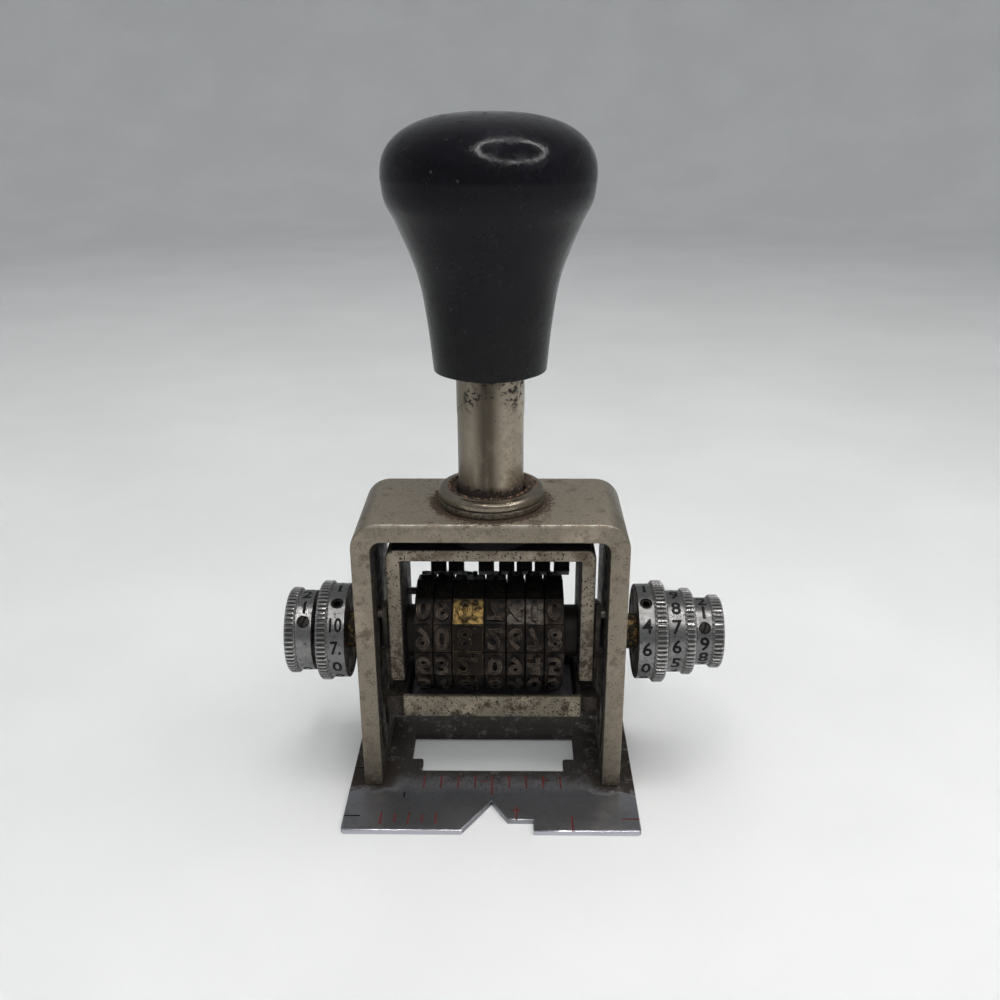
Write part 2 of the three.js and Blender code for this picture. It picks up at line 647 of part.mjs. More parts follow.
// A set screw or its hole, pointing in at the shaft from the dial's lettered band.
function setScrewBody(dial, shaftRadius, gap = 0, overcut = 0) {
  const x = dial.start + dial.band / 2;
  const foot = shaftRadius + SEAT_GAP;
  const head = dial.bandRadius - SET_SCREW.sink + overcut;
  const upright = post(SET_SCREW.radius + gap, foot - gap, head, 8);
  return upright.rotate([90 - dial.screw, 0, 0]).translate([x, 0, axleZ]);
}

// A dial: a lettered band towards the yoke and a knurled rim outside it.
function dialBody(dial, shaftRadius) {
  const bore = shaftRadius + SEAT_GAP;
  const step = dial.start + dial.band;
  const profile = [
    [bore, dial.start],
    [dial.bandRadius - 0.3, dial.start],
    [dial.bandRadius, dial.start + 0.3],
    [dial.bandRadius, step],
    [dial.rimRadius, step + 0.15],
    [dial.rimRadius, dial.end - 0.35],
    [dial.rimRadius - 0.35, dial.end],
    [bore, dial.end],
    [bore, dial.start],
  ];
  return turnedOnAxle(profile, 28).subtract(setScrewBody(dial, shaftRadius, SEAT_GAP, OVERCUT));
}

// One dial with its shaft, its set screw and the wheel it turns. The shaft runs from the wheel
// to the dial's outer end; boreRadius is zero for the solid rod in the middle.
function dialTrain({ dial, side, wheelIndex, shaftName, boreRadius, shaftRadius, shaftEnd, shaftMaterial }) {
  const outer = dial.end - 0.2;
  const inner = side * shaftEnd;
  const solidRod = () => axleRod(shaftRadius, inner, outer);
  const shaft = boreRadius ? axleSleeve(boreRadius, shaftRadius, inner, outer) : solidRod();
  const placed = (body) => (side < 0 ? mirroredX(body) : body);
  return [
    piece(`dial_${dial.label}`, placed(dialBody(dial, shaftRadius)), SATIN_CHROME),
    piece(shaftName, placed(shaft), shaftMaterial),
    piece(`set_screw_${dial.label}`, placed(setScrewBody(dial, shaftRadius)), SCREW_STEEL),
    typeWheel(wheelIndex, shaftRadius + SEAT_GAP, TYPE_METAL),
  ];
}

function dialTrains() {
  const [leftInner, leftOuter] = stacked(DIALS_LEFT);
  const [rightInner, rightMiddle, rightOuter] = stacked(DIALS_RIGHT);
  const trains = [
    {
      dial: leftInner, side: -1, wheelIndex: 0, shaftName: "wheel_tube_left",
      boreRadius: innerTube.inner, shaftRadius: outerTube.outer, shaftEnd: wheels[0].right,
      shaftMaterial: BRASS,
    },
    {
      dial: leftOuter, side: -1, wheelIndex: 1, shaftName: "wheel_rod_left",
      boreRadius: 0, shaftRadius: ROD_RADIUS, shaftEnd: wheels[1].right,
      shaftMaterial: SCREW_STEEL,
    },
    {
      dial: rightOuter, side: 1, wheelIndex: 4, shaftName: "wheel_rod_right",
      boreRadius: 0, shaftRadius: ROD_RADIUS, shaftEnd: wheels[2].left,
      shaftMaterial: SCREW_STEEL,
    },
    {
      dial: rightMiddle, side: 1, wheelIndex: 5, shaftName: "wheel_tube_right_inner",
      boreRadius: innerTube.inner, shaftRadius: innerTube.outer, shaftEnd: wheels[5].left,
      shaftMaterial: SCREW_STEEL,
    },
    {
      dial: rightInner, side: 1, wheelIndex: 6, shaftName: "wheel_tube_right_outer",
      boreRadius: outerTube.inner, shaftRadius: outerTube.outer, shaftEnd: wheels[6].left,
      shaftMaterial: BRASS,
    },
  ];
  return trains.flatMap(dialTrain);
}

// The wide brass wheel and its neighbour turn freely on the right-hand rod and are set by hand.
function handSetWheels() {
  const bore = ROD_RADIUS + RUNNING_GAP;
  return [typeWheel(2, bore, BRASS), typeWheel(3, bore, TYPE_METAL)];
}

// ---------------------------------------------------------------- ink tray and its arms

// The tray's end walls are scooped out where they swing past the ends of the carriage's legs.
function inkTray() {
  const { depth, wall, cornerRadius, height } = TRAY;
  const outer = roundedRectangle(trayHalf, depth / 2, cornerRadius);
  const inner = roundedRectangle(trayHalf - wall, depth / 2 - wall, cornerRadius - wall);
  let body = slabAlongZ(outer, trayFloor, trayFloor + height, 4);
  body = body.subtract(slabAlongZ(inner, trayFloor + wall, trayFloor + height + OVERCUT, 4));
  const reach = trayHalf + OVERCUT;
  const relief = axleRod(legSweep + RELIEF_GAP, trayHalf - wall - PAD.side, reach, 40);
  body = body.subtract(relief).subtract(mirroredX(relief));
  const hole = crossRod(TRAY_RIVET.shank + SEAT_GAP, -reach, reach, 0, rivetZ);
  return piece("ink_tray", body.subtract(hole), DARK_STEEL);
}

// The inked felt pad. Its ends stop short of the rivets inside the tray.
function inkPad() {
  const halfLength = trayHalf - TRAY.wall - 2 * PAD.side;
  const halfDepth = TRAY.depth / 2 - TRAY.wall - PAD.side;
  const outline = roundedRectangle(halfLength, halfDepth, PAD.cornerRadius);
  const body = slabAlongZ(outline, trayFloor + TRAY.wall + SEAT_GAP, padTop, 3);
  return piece("ink_pad", body, INK_FELT);
}

// The broad foot of an arm, relieved where it swings past the carriage's leg.
function armShoe() {
  const { halfDepth, rise } = ARM_SHOE;
  const near = trayHalf + SEAT_GAP;
  const shoe = box(near, armOuter, -halfDepth, halfDepth, trayFloor, rivetZ + rise);
  const relief = axleRod(legSweep + RELIEF_GAP, near - OVERCUT, armInner, 40);
  const collar = crossRod(TRAY_RIVET.shoulder + SEAT_GAP, near - OVERCUT, armInner, 0, rivetZ);
  return shoe.subtract(relief).subtract(collar);
}

// A tray arm: a hub on the bush, a boss for the follower pin above and a foot riveted to the tray.
function armBody() {
  const hub = disc(0, axleZ, ARM.hubRadius);
  const [pinY, pinZ] = camPinPlace(0);
  const boss = disc(pinY, pinZ, ARM.pinBossRadius);
  const foot = disc(0, rivetZ, ARM.footRadius);
  const flat = (shape) => slabAlongX(shape, armInner, armOuter, 10);
  const [hubSlab, bossSlab, footSlab] = [hub, boss, foot].map(flat);
  let body = wasm.Manifold.hull([hubSlab, footSlab]).add(wasm.Manifold.hull([hubSlab, bossSlab]));
  body = body.add(armShoe());
  const span = [armInner - OVERCUT, armOuter + OVERCUT];
  body = body.subtract(axleRod(bush.outer + RUNNING_GAP, ...span));
  body = body.subtract(crossRod(TRAY_RIVET.shank + SEAT_GAP, ...span, 0, rivetZ));
  return body.subtract(camPinBody(SEAT_GAP, OVERCUT));
}

function camPinBody(gap = 0, overcut = 0) {
  const [y, z] = camPinPlace(0);
  const tip = yokeInner + CAM_GROOVE.depth - RUNNING_GAP;
  return crossRod(CAM_PIN.radius + gap, armInner - overcut, tip, y, z);
}

// A shouldered rivet from inside the tray's end wall, through a spacer collar, to the arm.
function trayRivetBody() {
  const { shank, shoulder, head, headHeight } = TRAY_RIVET;
  const start = trayHalf - TRAY.wall;
  const collarStart = trayHalf + SEAT_GAP;
  const collarEnd = armInner - SEAT_GAP;
  const headStart = armOuter + SEAT_GAP;
  const profile = [
    [0, start],
    [shank, start],
    [shank, collarStart],
    [shoulder, collarStart],
    [shoulder, collarEnd],
    [shank, collarEnd],
    [shank, headStart],
    [head, headStart],
    [head * 0.6, headStart + headHeight],
    [0, headStart + headHeight],
  ];
  return turnedOnAxle(profile, 12).translate([0, 0, rivetZ - axleZ]);
}

// What each side of the swinging tray is made of, the left side mirrored from the right.
function padLinkage() {
  const right = [
    ["pad_arm", armBody(), NICKEL],
    ["cam_pin", camPinBody(), SCREW_STEEL],
    ["tray_rivet", trayRivetBody(), BRASS],
  ];
  return right.flatMap(([name, body, material]) => [
    piece(`${name}_left`, mirroredX(body), material),
    piece(`${name}_right`, body, material),
  ]);
}

// ---------------------------------------------------------------- assembly

const stand = new THREE.Group();
stand.add(basePlate(), yoke(), guideCollar(), springCrossPin(), returnSpring(), ...legScrews());

const carriage = new THREE.Group();
carriage.add(carriageFrame(), retainingPeg());
carriage.add(bearingBush("left", drumLeft), bearingBush("right", drumLeft + drumLength));
carriage.add(plungerTube(), plungerNut(), bufferWasher(), springPlug(), handleKnob());
carriage.add(detentBar(), ...detentScrews(), ...wheels.map((_, index) => detentSpring(index)));
carriage.add(...dialTrains(), ...handSetWheels());
carriage.add(inkTray(), inkPad(), ...padLinkage());

const stamp = new THREE.Group();
stamp.add(stand, carriage);
const middle = new THREE.Box3().setFromObject(stamp, true).getCenter(new THREE.Vector3());
stamp.position.set(-middle.x, -middle.y, 0);

export default stamp;
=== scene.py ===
"""A self-inking numbering stamp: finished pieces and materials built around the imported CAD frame."""

import json
import math

import bmesh
import bpy
from bpy.props import FloatProperty, FloatVectorProperty, PointerProperty
from mathutils import Matrix, Vector

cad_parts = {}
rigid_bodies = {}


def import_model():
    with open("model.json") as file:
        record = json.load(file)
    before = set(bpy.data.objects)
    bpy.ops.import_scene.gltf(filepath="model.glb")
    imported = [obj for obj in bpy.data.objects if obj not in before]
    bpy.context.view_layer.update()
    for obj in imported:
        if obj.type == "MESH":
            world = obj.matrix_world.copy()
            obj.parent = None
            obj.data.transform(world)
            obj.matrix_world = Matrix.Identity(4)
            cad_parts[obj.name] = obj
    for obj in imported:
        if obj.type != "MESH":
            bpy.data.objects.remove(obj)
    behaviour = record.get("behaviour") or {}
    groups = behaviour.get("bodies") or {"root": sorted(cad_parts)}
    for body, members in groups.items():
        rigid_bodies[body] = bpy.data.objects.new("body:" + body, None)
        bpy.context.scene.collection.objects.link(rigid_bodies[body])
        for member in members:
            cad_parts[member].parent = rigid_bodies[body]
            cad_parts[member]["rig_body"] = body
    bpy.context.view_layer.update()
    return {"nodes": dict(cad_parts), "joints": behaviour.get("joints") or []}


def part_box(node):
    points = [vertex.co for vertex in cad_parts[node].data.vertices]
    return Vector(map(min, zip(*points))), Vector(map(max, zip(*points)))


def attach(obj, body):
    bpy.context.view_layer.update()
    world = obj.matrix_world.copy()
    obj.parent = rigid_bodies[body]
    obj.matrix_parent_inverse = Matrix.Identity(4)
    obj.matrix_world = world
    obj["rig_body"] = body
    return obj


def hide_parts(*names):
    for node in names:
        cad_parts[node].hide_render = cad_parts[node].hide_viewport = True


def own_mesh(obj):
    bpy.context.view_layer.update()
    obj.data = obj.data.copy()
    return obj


bl_info = {
    "name": "Numbering Stamp",
    "version": (1, 0, 0),
    "blender": (4, 5, 0),
    "location": "View3D > Sidebar > Stamp",
    "description": "Builds the finished pieces, materials and stage of a self-inking numbering stamp",
    "category": "Add Mesh",
}

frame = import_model()

MM = 0.001
FULL_TURN = 2 * math.pi
TYPE_POSITIONS = 13  # flats round a type wheel
OVERCUT = 1.0  # how far a cutting tool runs past the face it cuts
MATERIAL_SLOTS = 4  # the most that any piece has
WALL_GAP = 0.12  # between pieces that are fastened together
RUNNING_GAP = 0.2  # between pieces that turn or slide on each other


# ---- places read from the frame


def middle_of(node):
    low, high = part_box(node)
    return (low + high) / 2


# Where the plunger's axis meets the table, in the CAD frame.
PLUNGER = Vector((middle_of("plunger_tube").x, middle_of("plunger_tube").y, 0)) / MM
AXLE_Z = middle_of("wheel_rod_left").z / MM


class Span:
    """A CAD node's box in millimetres, measured from the plunger's axis and the table."""

    def __init__(self, node):
        low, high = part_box(node)
        self.low = low / MM - PLUNGER
        self.high = high / MM - PLUNGER
        self.middle = (self.low + self.high) / 2
        self.size = self.high - self.low


def slide_travel():
    joint = next(j for j in frame["joints"] if j["name"] == "plunger_press")
    return joint["range_m"][1] / MM


def swing_range():
    joint = next(j for j in frame["joints"] if j["name"] == "pad_swing_hinge")
    return math.radians(joint["range_deg"][1])


# ---- sizes and colours a user may change


def length(name, description, millimetres):
    return FloatProperty(name=name, description=description, default=millimetres * MM, unit="LENGTH")


def colour(name, description, *rgb):
    return FloatVectorProperty(name=name, description=description, default=rgb, size=3, subtype="COLOR")


class StampEdges(bpy.types.PropertyGroup):
    """Rounds on the edges of the worked metal."""

    strap: length("Strap edges", "Round on the edges of the yoke and the carriage", 0.28)
    plate: length("Plate edges", "Round on the edges of the gauge plate", 0.3)
    fine: length("Fine edges", "Round on the edges of small pieces", 0.12)


class StampMarks(bpy.types.PropertyGroup):
    """Gauge marks, numbers and type."""

    tick_width: length("Tick width", "Width of an engraved gauge mark", 0.34)
    tick_pitch: length("Tick pitch", "Distance between gauge marks", 3.5)
    tick_depth: length("Tick depth", "Depth of an engraved gauge mark", 0.14)
    number_height: length("Number height", "Height of the numbers on the dials", 2.9)
    number_rise: length("Number rise", "How far the black filling stands out of the dial", 0.02)
    type_height: length("Type height", "Height of a figure on a type wheel", 4.2)
    type_relief: length("Type relief", "How far a figure stands out of its wheel", 0.85)
    knurl_pitch: length("Knurl pitch", "Distance between the teeth of a dial's rim", 0.98)
    knurl_depth: length("Knurl depth", "Depth of the grooves of a dial's rim", 0.42)


class StampColours(bpy.types.PropertyGroup):
    """Colours of the finishes."""

    nickel: colour("Nickel", "Worn nickel plate", 0.250, 0.215, 0.168)
    steel: colour("Gauge steel", "Bare steel of the gauge plate", 0.265, 0.268, 0.285)
    dial: colour("Dial metal", "Satin chrome of the dials", 0.190, 0.190, 0.188)
    brass: colour("Brass", "Aged brass", 0.36, 0.24, 0.085)
    ink: colour("Dried ink", "Ink and grime on the type and in corners", 0.012, 0.010, 0.009)
    grime: colour("Grime", "Brown dirt on the metal", 0.055, 0.042, 0.030)
    paint: colour("Mark paint", "Filling of the gauge marks", 0.15, 0.016, 0.014)
    phenolic: colour("Phenolic", "Black moulding of the knob", 0.0032, 0.003, 0.0048)
    felt: colour("Felt", "Ink-soaked felt", 0.016, 0.012, 0.022)
    floor: colour("Floor", "Plain floor and backdrop", 0.72, 0.73, 0.73)


def mm(value):
    return value / MM


def edges():
    return bpy.context.scene.stamp_edges


def marks():
    return bpy.context.scene.stamp_marks


def colours():
    return bpy.context.scene.stamp_colours


# ---- outlines


def rounded_outline(corners, steps=6):
    """The points of an outline given as (a, b, radius) corners, each turned into an arc."""
    points = []
    for i, (a, b, radius) in enumerate(corners):
        here = Vector((a, b))
        if not radius:
            points.append(here)
            continue
        before = (Vector(corners[i - 1][:2]) - here).normalized()
        after = (Vector(corners[(i + 1) % len(corners)][:2]) - here).normalized()
        half = before.angle(after) / 2
        centre = here + (before + after).normalized() * radius / math.sin(half)
        start = here + before * radius / math.tan(half) - centre
        end = here + after * radius / math.tan(half) - centre
        first = math.atan2(start.y, start.x)
        sweep = (math.atan2(end.y, end.x) - first + math.pi) % FULL_TURN - math.pi
        for k in range(steps + 1):
            angle = first + sweep * k / steps
            points.append(centre + radius * Vector((math.cos(angle), math.sin(angle))))
    return points


def arch_outline(outer, inner, foot, top, ceiling, outer_radius, inner_radius):
    """An upside-down U standing on its two feet."""
    corners = [
        (inner, foot, 0), (outer, foot, 0), (outer, top, outer_radius), (-outer, top, outer_radius),
        (-outer, foot, 0), (-inner, foot, 0), (-inner, ceiling, inner_radius), (inner, ceiling, inner_radius),
    ]
    return rounded_outline(corners, 12)


def rectangle(half_a, half_b, radius, steps=8):
    corners = [(-half_a, -half_b), (half_a, -half_b), (half_a, half_b), (-half_a, half_b)]
    return rounded_outline([(*corner, radius) for corner in corners], steps)


def smooth_curve(points, steps):
    """A Catmull-Rom curve through the points."""
    ends = [2 * points[0] - points[1], *points, 2 * points[-1] - points[-2]]
    curve = []
    for p0, p1, p2, p3 in zip(ends, ends[1:], ends[2:], ends[3:]):
        for k in range(steps):
            t = k / steps
            curve.append(
                0.5 * (2 * p1 + (p2 - p0) * t + (2 * p0 - 5 * p1 + 4 * p2 - p3) * t**2
                       + (3 * p1 - p0 - 3 * p2 + p3) * t**3)
            )
    return [*curve, points[-1]]


# ---- solids


def turned(profile, steps=96, loop=False):
    """A solid spun about the z axis from (radius, height) points."""
    bm = bmesh.new()
    verts = [bm.verts.new((radius, 0, height)) for radius, height in profile]
    pairs = list(zip(verts, verts[1:]))
    if loop:
        pairs.append((verts[-1], verts[0]))
    outline = [bm.edges.new(pair) for pair in pairs]
    bmesh.ops.spin(
        bm, geom=verts + outline, cent=(0, 0, 0), axis=(0, 0, 1), dvec=(0, 0, 0),
        angle=FULL_TURN, steps=steps, use_merge=True,
    )
    bmesh.ops.remove_doubles(bm, verts=bm.verts[:], dist=1e-4)
    bmesh.ops.recalc_face_normals(bm, faces=bm.faces[:])
    return bm


def lathe(corners, arc, steps, loop=False):
    """A solid spun about the z axis from (radius, height, round) corners."""
    return turned(rounded_outline(corners, arc), steps, loop)


def pin_corners(radius, low, high, first, last, bore=0, inner=0):
    """The corners of a pin, or with a bore those of a sleeve, with rounds at its first and last end."""
    return [(bore, low, inner), (radius, low, first), (radius, high, last), (bore, high, inner)]


def slab(outline, low, high, across="z"):
    """A flat outline made solid from low to high along one axis."""
    place = {
        "x": lambda a, b: (low, a, b),
        "y": lambda a, b: (a, low, b),
        "z": lambda a, b: (a, b, low),
    }[across]
    push = Vector([high - low if axis == across else 0 for axis in "xyz"])
    bm = bmesh.new()
    face = bm.faces.new([bm.verts.new(place(*point)) for point in outline])
    grown = bmesh.ops.extrude_face_region(bm, geom=[face])
    moved = [part for part in grown["geom"] if isinstance(part, bmesh.types.BMVert)]
    bmesh.ops.translate(bm, verts=moved, vec=push)
    bmesh.ops.recalc_face_normals(bm, faces=bm.faces[:])
    return bm


def block(low, high):
    bm = bmesh.new()
    low, high = Vector(low), Vector(high)
    size = Matrix.Diagonal((*(high - low), 1))
    bmesh.ops.create_cube(bm, size=1, matrix=Matrix.Translation((low + high) / 2) @ size)
    return bm


def rod(radius, low, high, steps=32):
    return turned([(0, low), (radius, low), (radius, high), (0, high)], steps)


def moved(bm, matrix):
    bmesh.ops.transform(bm, matrix=matrix, verts=bm.verts[:])
    if matrix.determinant() < 0:
        bmesh.ops.reverse_faces(bm, faces=bm.faces[:])
    return bm


def shifted(bm, x=0.0, y=0.0, z=0.0):
    return moved(bm, Matrix.Translation((x, y, z)))


def on_axle(bm, z=None):
    """Lays a solid made about the z axis along x, at the axle's height or another."""
    height = AXLE_Z if z is None else z
    return moved(bm, Matrix.Translation((0, 0, height)) @ Matrix.Rotation(math.pi / 2, 4, "Y"))


def mirrored(bm):
    return moved(bm, Matrix.Diagonal((-1, 1, 1, 1)))


def softened(bm, width, segments=2, angle=35, keep=None):
    """Rounds the edges that are sharper than the angle, or those that keep picks."""
    sharp = [
        edge for edge in bm.edges
        if len(edge.link_faces) == 2 and edge.calc_face_angle() > math.radians(angle)
        and (keep is None or keep(edge))
    ]
    bmesh.ops.bevel(
        bm, geom=sharp, offset=width, offset_type="OFFSET", segments=segments, profile=0.5,
        affect="EDGES", material=-1, clamp_overlap=False,
    )
    return bm


def joined(bm, other):
    """Adds another solid's faces to the first."""
    scratch = mesh_of(other)
    bm.from_mesh(scratch)
    bpy.data.meshes.remove(scratch)
    return bm


def mesh_of(bm, name="scratch", materials=()):
    mesh = bpy.data.meshes.new(name)
    for material in materials:
        mesh.materials.append(material)
    bm.to_mesh(mesh)
    bm.free()
    return mesh


def placed(name, data):
    """An object in the scene for the mesh, curve, light or camera."""
    made = bpy.data.objects.new(name, data)
    bpy.context.scene.collection.objects.link(made)
    return made


def settled(made):
    """The object's mesh with its modifiers applied, as a bmesh."""
    graph = bpy.context.evaluated_depsgraph_get()
    mesh = bpy.data.meshes.new_from_object(made.evaluated_get(graph), depsgraph=graph)
    bm = bmesh.new()
    bm.from_mesh(mesh)
    bpy.data.meshes.remove(mesh)
    return bm


def scratch_object(bm):
    return placed("scratch", mesh_of(bm, materials=[None] * MATERIAL_SLOTS))


def carved(bm, *tools):
    """The solid with each tool's volume cut away. Cut faces take the tool's material index."""
    base = scratch_object(bm)
    cutters = [scratch_object(tool) for tool in tools]
    for cutter in cutters:
        cut = base.modifiers.new("cut", "BOOLEAN")
        cut.operation = "DIFFERENCE"
        cut.solver = "EXACT"
        cut.object = cutter
    result = settled(base)
    for used in [base, *cutters]:
        bpy.data.meshes.remove(used.data)
    bmesh.ops.remove_doubles(result, verts=result.verts[:], dist=1e-4)
    return result


def painted(bm, index):
    for face in bm.faces:
        face.material_index = index
    return bm


def pin(node, ends, bore=0, inner=0, arc=4, steps=40, upright=False):
    """A round pin that fills its node, or with a bore a sleeve, with rounds at its first and last end."""
    span = Span(node)
    radius = span.size.x / 2 if upright else span.size.z / 2
    low, high = (span.low.z, span.high.z) if upright else (span.low.x, span.high.x)
    body = lathe(pin_corners(radius, low, high, *ends, bore, inner), arc, steps, loop=bore > 0)
    return body if upright else shifted(on_axle(body, span.middle.z), y=span.middle.y)


def node_copy(node):
    """A CAD node's own shape, merged and with its flat faces whole, in millimetres."""
    bm = bmesh.new()
    bm.from_mesh(frame["nodes"][node].data)
    bmesh.ops.remove_doubles(bm, verts=bm.verts[:], dist=1e-6)
    moved(bm, Matrix.Translation(-PLUNGER) @ Matrix.Diagonal((1 / MM, 1 / MM, 1 / MM, 1)))
    bmesh.ops.dissolve_limit(
        bm, angle_limit=math.radians(1), verts=bm.verts[:], edges=bm.edges[:], use_dissolve_boundaries=False
    )
    return bm


def finished(bm, node, slot, *finishes, sharp=32):
    """Makes the solid a piece that stands for a CAD node and rides on that node's body."""
    moved(bm, Matrix.Diagonal((MM, MM, MM, 1)) @ Matrix.Translation(PLUNGER))
    for face in bm.faces:
        face.smooth = True
    for edge in bm.edges:
        if len(edge.link_faces) == 2:
            edge.smooth = edge.calc_face_angle() < math.radians(sharp)
    name = f"{node}_finished"
    made = placed(name, mesh_of(bm, name))
    for finish in finishes:
        made.data.materials.append(finish_named(finish))
    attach(made, frame["nodes"][node]["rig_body"])
    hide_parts(node)
    return made


# ---- figures


FONT_DIGIT_HEIGHT = 0.70  # of a digit in a font of size 1


def figure(text, height, depth, bold=0.012):
    """Flat figures in the x-y plane, centred, as high as asked and depth thick."""
    curve = bpy.data.curves.new("scratch", "FONT")
    curve.body = text
    curve.resolution_u = 3
    curve.offset = bold
    curve.extrude = 0.5
    bm = settled(placed("scratch", curve))
    bpy.data.curves.remove(curve)
    bmesh.ops.remove_doubles(bm, verts=bm.verts[:], dist=1e-5)
    widths = [vert.co.x for vert in bm.verts]
    digit_height = FONT_DIGIT_HEIGHT + 2 * bold
    scale = height / digit_height
    centre = Vector(((min(widths) + max(widths)) / 2, digit_height / 2 - bold, 0))
    moved(bm, Matrix.Diagonal((scale, scale, depth, 1)) @ Matrix.Translation(-centre))
    bmesh.ops.recalc_face_normals(bm, faces=bm.faces[:])
    return bm


def wrapped(bm, radius, step=0.4):
    """Bends flat figures round the x axis: y runs up the front of the cylinder, z out of it."""
    heights = [vert.co.y for vert in bm.verts]
    for k in range(1, int((max(heights) - min(heights)) / step) + 1):
        bmesh.ops.bisect_plane(
            bm, geom=bm.verts[:] + bm.edges[:] + bm.faces[:], dist=1e-5,
            plane_co=(0, min(heights) + k * step, 0), plane_no=(0, 1, 0),
        )
    for vert in bm.verts:
        angle = vert.co.y / radius
        out = radius + vert.co.z
        vert.co.y = -out * math.cos(angle)
        vert.co.z = out * math.sin(angle)
    return bm


def round_axle(angle):
    """Turns something made at the front of the axle up to an angle above the front."""
    return Matrix.Translation((0, 0, AXLE_Z)) @ Matrix.Rotation(-angle, 4, "X")


# ---- finishes


class Finish:
    """A material in the making. Its patterns lie in the piece's own coordinates, in millimetres."""

    def __init__(self, name, colour, metallic, roughness, **sockets):
        self.material = bpy.data.materials.new(name)
        self.material.use_nodes = True
        self.tree = self.material.node_tree
        self.shader = self.tree.nodes["Principled BSDF"]
        self.values = {"Base Color": (*colour, 1), "Metallic": metallic, "Roughness": roughness}
        self.height = None
        for socket, value in sockets.items():
            self.shader.inputs[socket.replace("_", " ")].default_value = value

    def node(self, kind, inputs=(), **settings):
        made = self.tree.nodes.new(kind)
        for name, value in settings.items():
            setattr(made, name, value)
        for key, value in dict(inputs).items():
            self.feed(made.inputs[key], value)
        return made

    def feed(self, socket, value):
        if isinstance(value, bpy.types.NodeSocket):
            self.tree.links.new(value, socket)
        else:
            socket.default_value = value

    def coordinates(self, stretch=(1, 1, 1), origin=(0, 0, 0)):
        """Millimetres from the plunger's axis and the table, stretched, less the origin."""
        shift = [-(PLUNGER[i] + origin[i]) * stretch[i] for i in range(3)]
        scale = [s / MM for s in stretch]
        place = self.node("ShaderNodeTexCoord").outputs["Object"]
        inputs = {"Vector": place, "Location": shift, "Scale": scale}
        return self.node("ShaderNodeMapping", inputs).outputs["Vector"]

    def noise(self, scale, detail=3.0, roughness=0.55, stretch=(1, 1, 1), distortion=0.0):
        inputs = {
            "Vector": self.coordinates(stretch), "Scale": scale, "Detail": detail,
            "Roughness": roughness, "Distortion": distortion,
        }
        return self.node("ShaderNodeTexNoise", inputs).outputs["Fac"]

    def dots(self, scale, size, share=0.5):
        """Ragged dots, size of a cell across, in that share of the cells."""
        cell = self.node("ShaderNodeTexVoronoi", {"Vector": self.coordinates(), "Scale": scale})
        ragged = self.math("MULTIPLY", self.noise(scale * 2.2, 4, 0.7), 2.4 * size)
        reach = self.math("ADD", cell.outputs["Distance"], ragged)
        chance = self.node("ShaderNodeSeparateXYZ", {0: cell.outputs["Color"]}).outputs["X"]
        return self.both(self.ramp(reach, 2.2 * size, 1.9 * size), self.ramp(chance, share, share - 0.1))

    def ramp(self, value, low, high, top=1.0):
        """0 below low, top above high, and smooth between them. Low may be above high."""
        inputs = {"Value": value, "From Min": low, "From Max": high, "To Min": 0.0, "To Max": top}
        return self.node("ShaderNodeMapRange", inputs, interpolation_type="SMOOTHSTEP").outputs["Result"]

    def patches(self, low, high, *shape, **more):
        """1 where the noise of that shape is past high, 0 where it is short of low."""
        return self.ramp(self.noise(*shape, **more), low, high)

    def zone(self, axis, low, high, top=1.0):
        """0 on one side of low along the axis, and top past high."""
        return self.ramp(self.along(axis), low, high, top)

    def math(self, operation, a, b):
        return self.node("ShaderNodeMath", {0: a, 1: b}, operation=operation).outputs[0]

    def both(self, *masks):
        result = masks[0]
        for mask in masks[1:]:
            result = self.math("MULTIPLY", result, mask)
        return result

    def either(self, *masks):
        result = masks[0]
        for mask in masks[1:]:
            result = self.math("MAXIMUM", result, mask)
        return result

    def along(self, axis, origin=(0, 0, 0)):
        split = self.node("ShaderNodeSeparateXYZ", {0: self.coordinates(origin=origin)})
        return split.outputs[axis.upper()]

    def apart(self, axis, origin=(0, 0, 0)):
        """The distance along one axis, on either side."""
        return self.math("ABSOLUTE", self.along(axis, origin), 0.0)

    def from_axle(self):
        across = self.coordinates(stretch=(0, 1, 1), origin=(0, 0, AXLE_Z))
        return self.node("ShaderNodeVectorMath", {0: across}, operation="LENGTH").outputs["Value"]

    def from_plunger(self):
        across = self.coordinates(stretch=(1, 1, 0))
        return self.node("ShaderNodeVectorMath", {0: across}, operation="LENGTH").outputs["Value"]

    def crevice(self, reach, low=0.85, high=0.35):
        """1 in the corners of this piece, 0 on its open faces."""
        inputs = {"Distance": reach * MM}
        shut = self.node("ShaderNodeAmbientOcclusion", inputs, samples=6, only_local=True)
        return self.ramp(shut.outputs["AO"], low, high)

    def rim(self, reach):
        """1 on the edges of this piece."""
        soft = self.node("ShaderNodeBevel", {"Radius": reach * MM}, samples=4).outputs["Normal"]
        true = self.node("ShaderNodeNewGeometry").outputs["Normal"]
        alike = self.node("ShaderNodeVectorMath", {0: soft, 1: true}, operation="DOT_PRODUCT")
        return self.ramp(alike.outputs["Value"], 0.985, 0.90)

    def layer(self, mask, colour=None, metallic=None, roughness=None):
        """Lays another state of the surface over the first where the mask is 1."""
        if colour is not None:
            mix = self.node("ShaderNodeMix", data_type="RGBA")
            self.feed(mix.inputs[0], mask)
            self.feed(mix.inputs[6], self.values["Base Color"])
            self.feed(mix.inputs[7], (*colour, 1))
            self.values["Base Color"] = mix.outputs[2]
        for socket, value in (("Metallic", metallic), ("Roughness", roughness)):
            if value is not None:
                mix = self.node("ShaderNodeMix", data_type="FLOAT")
                self.feed(mix.inputs[0], mask)
                self.feed(mix.inputs[2], self.values[socket])
                self.feed(mix.inputs[3], value)
                self.values[socket] = mix.outputs[0]

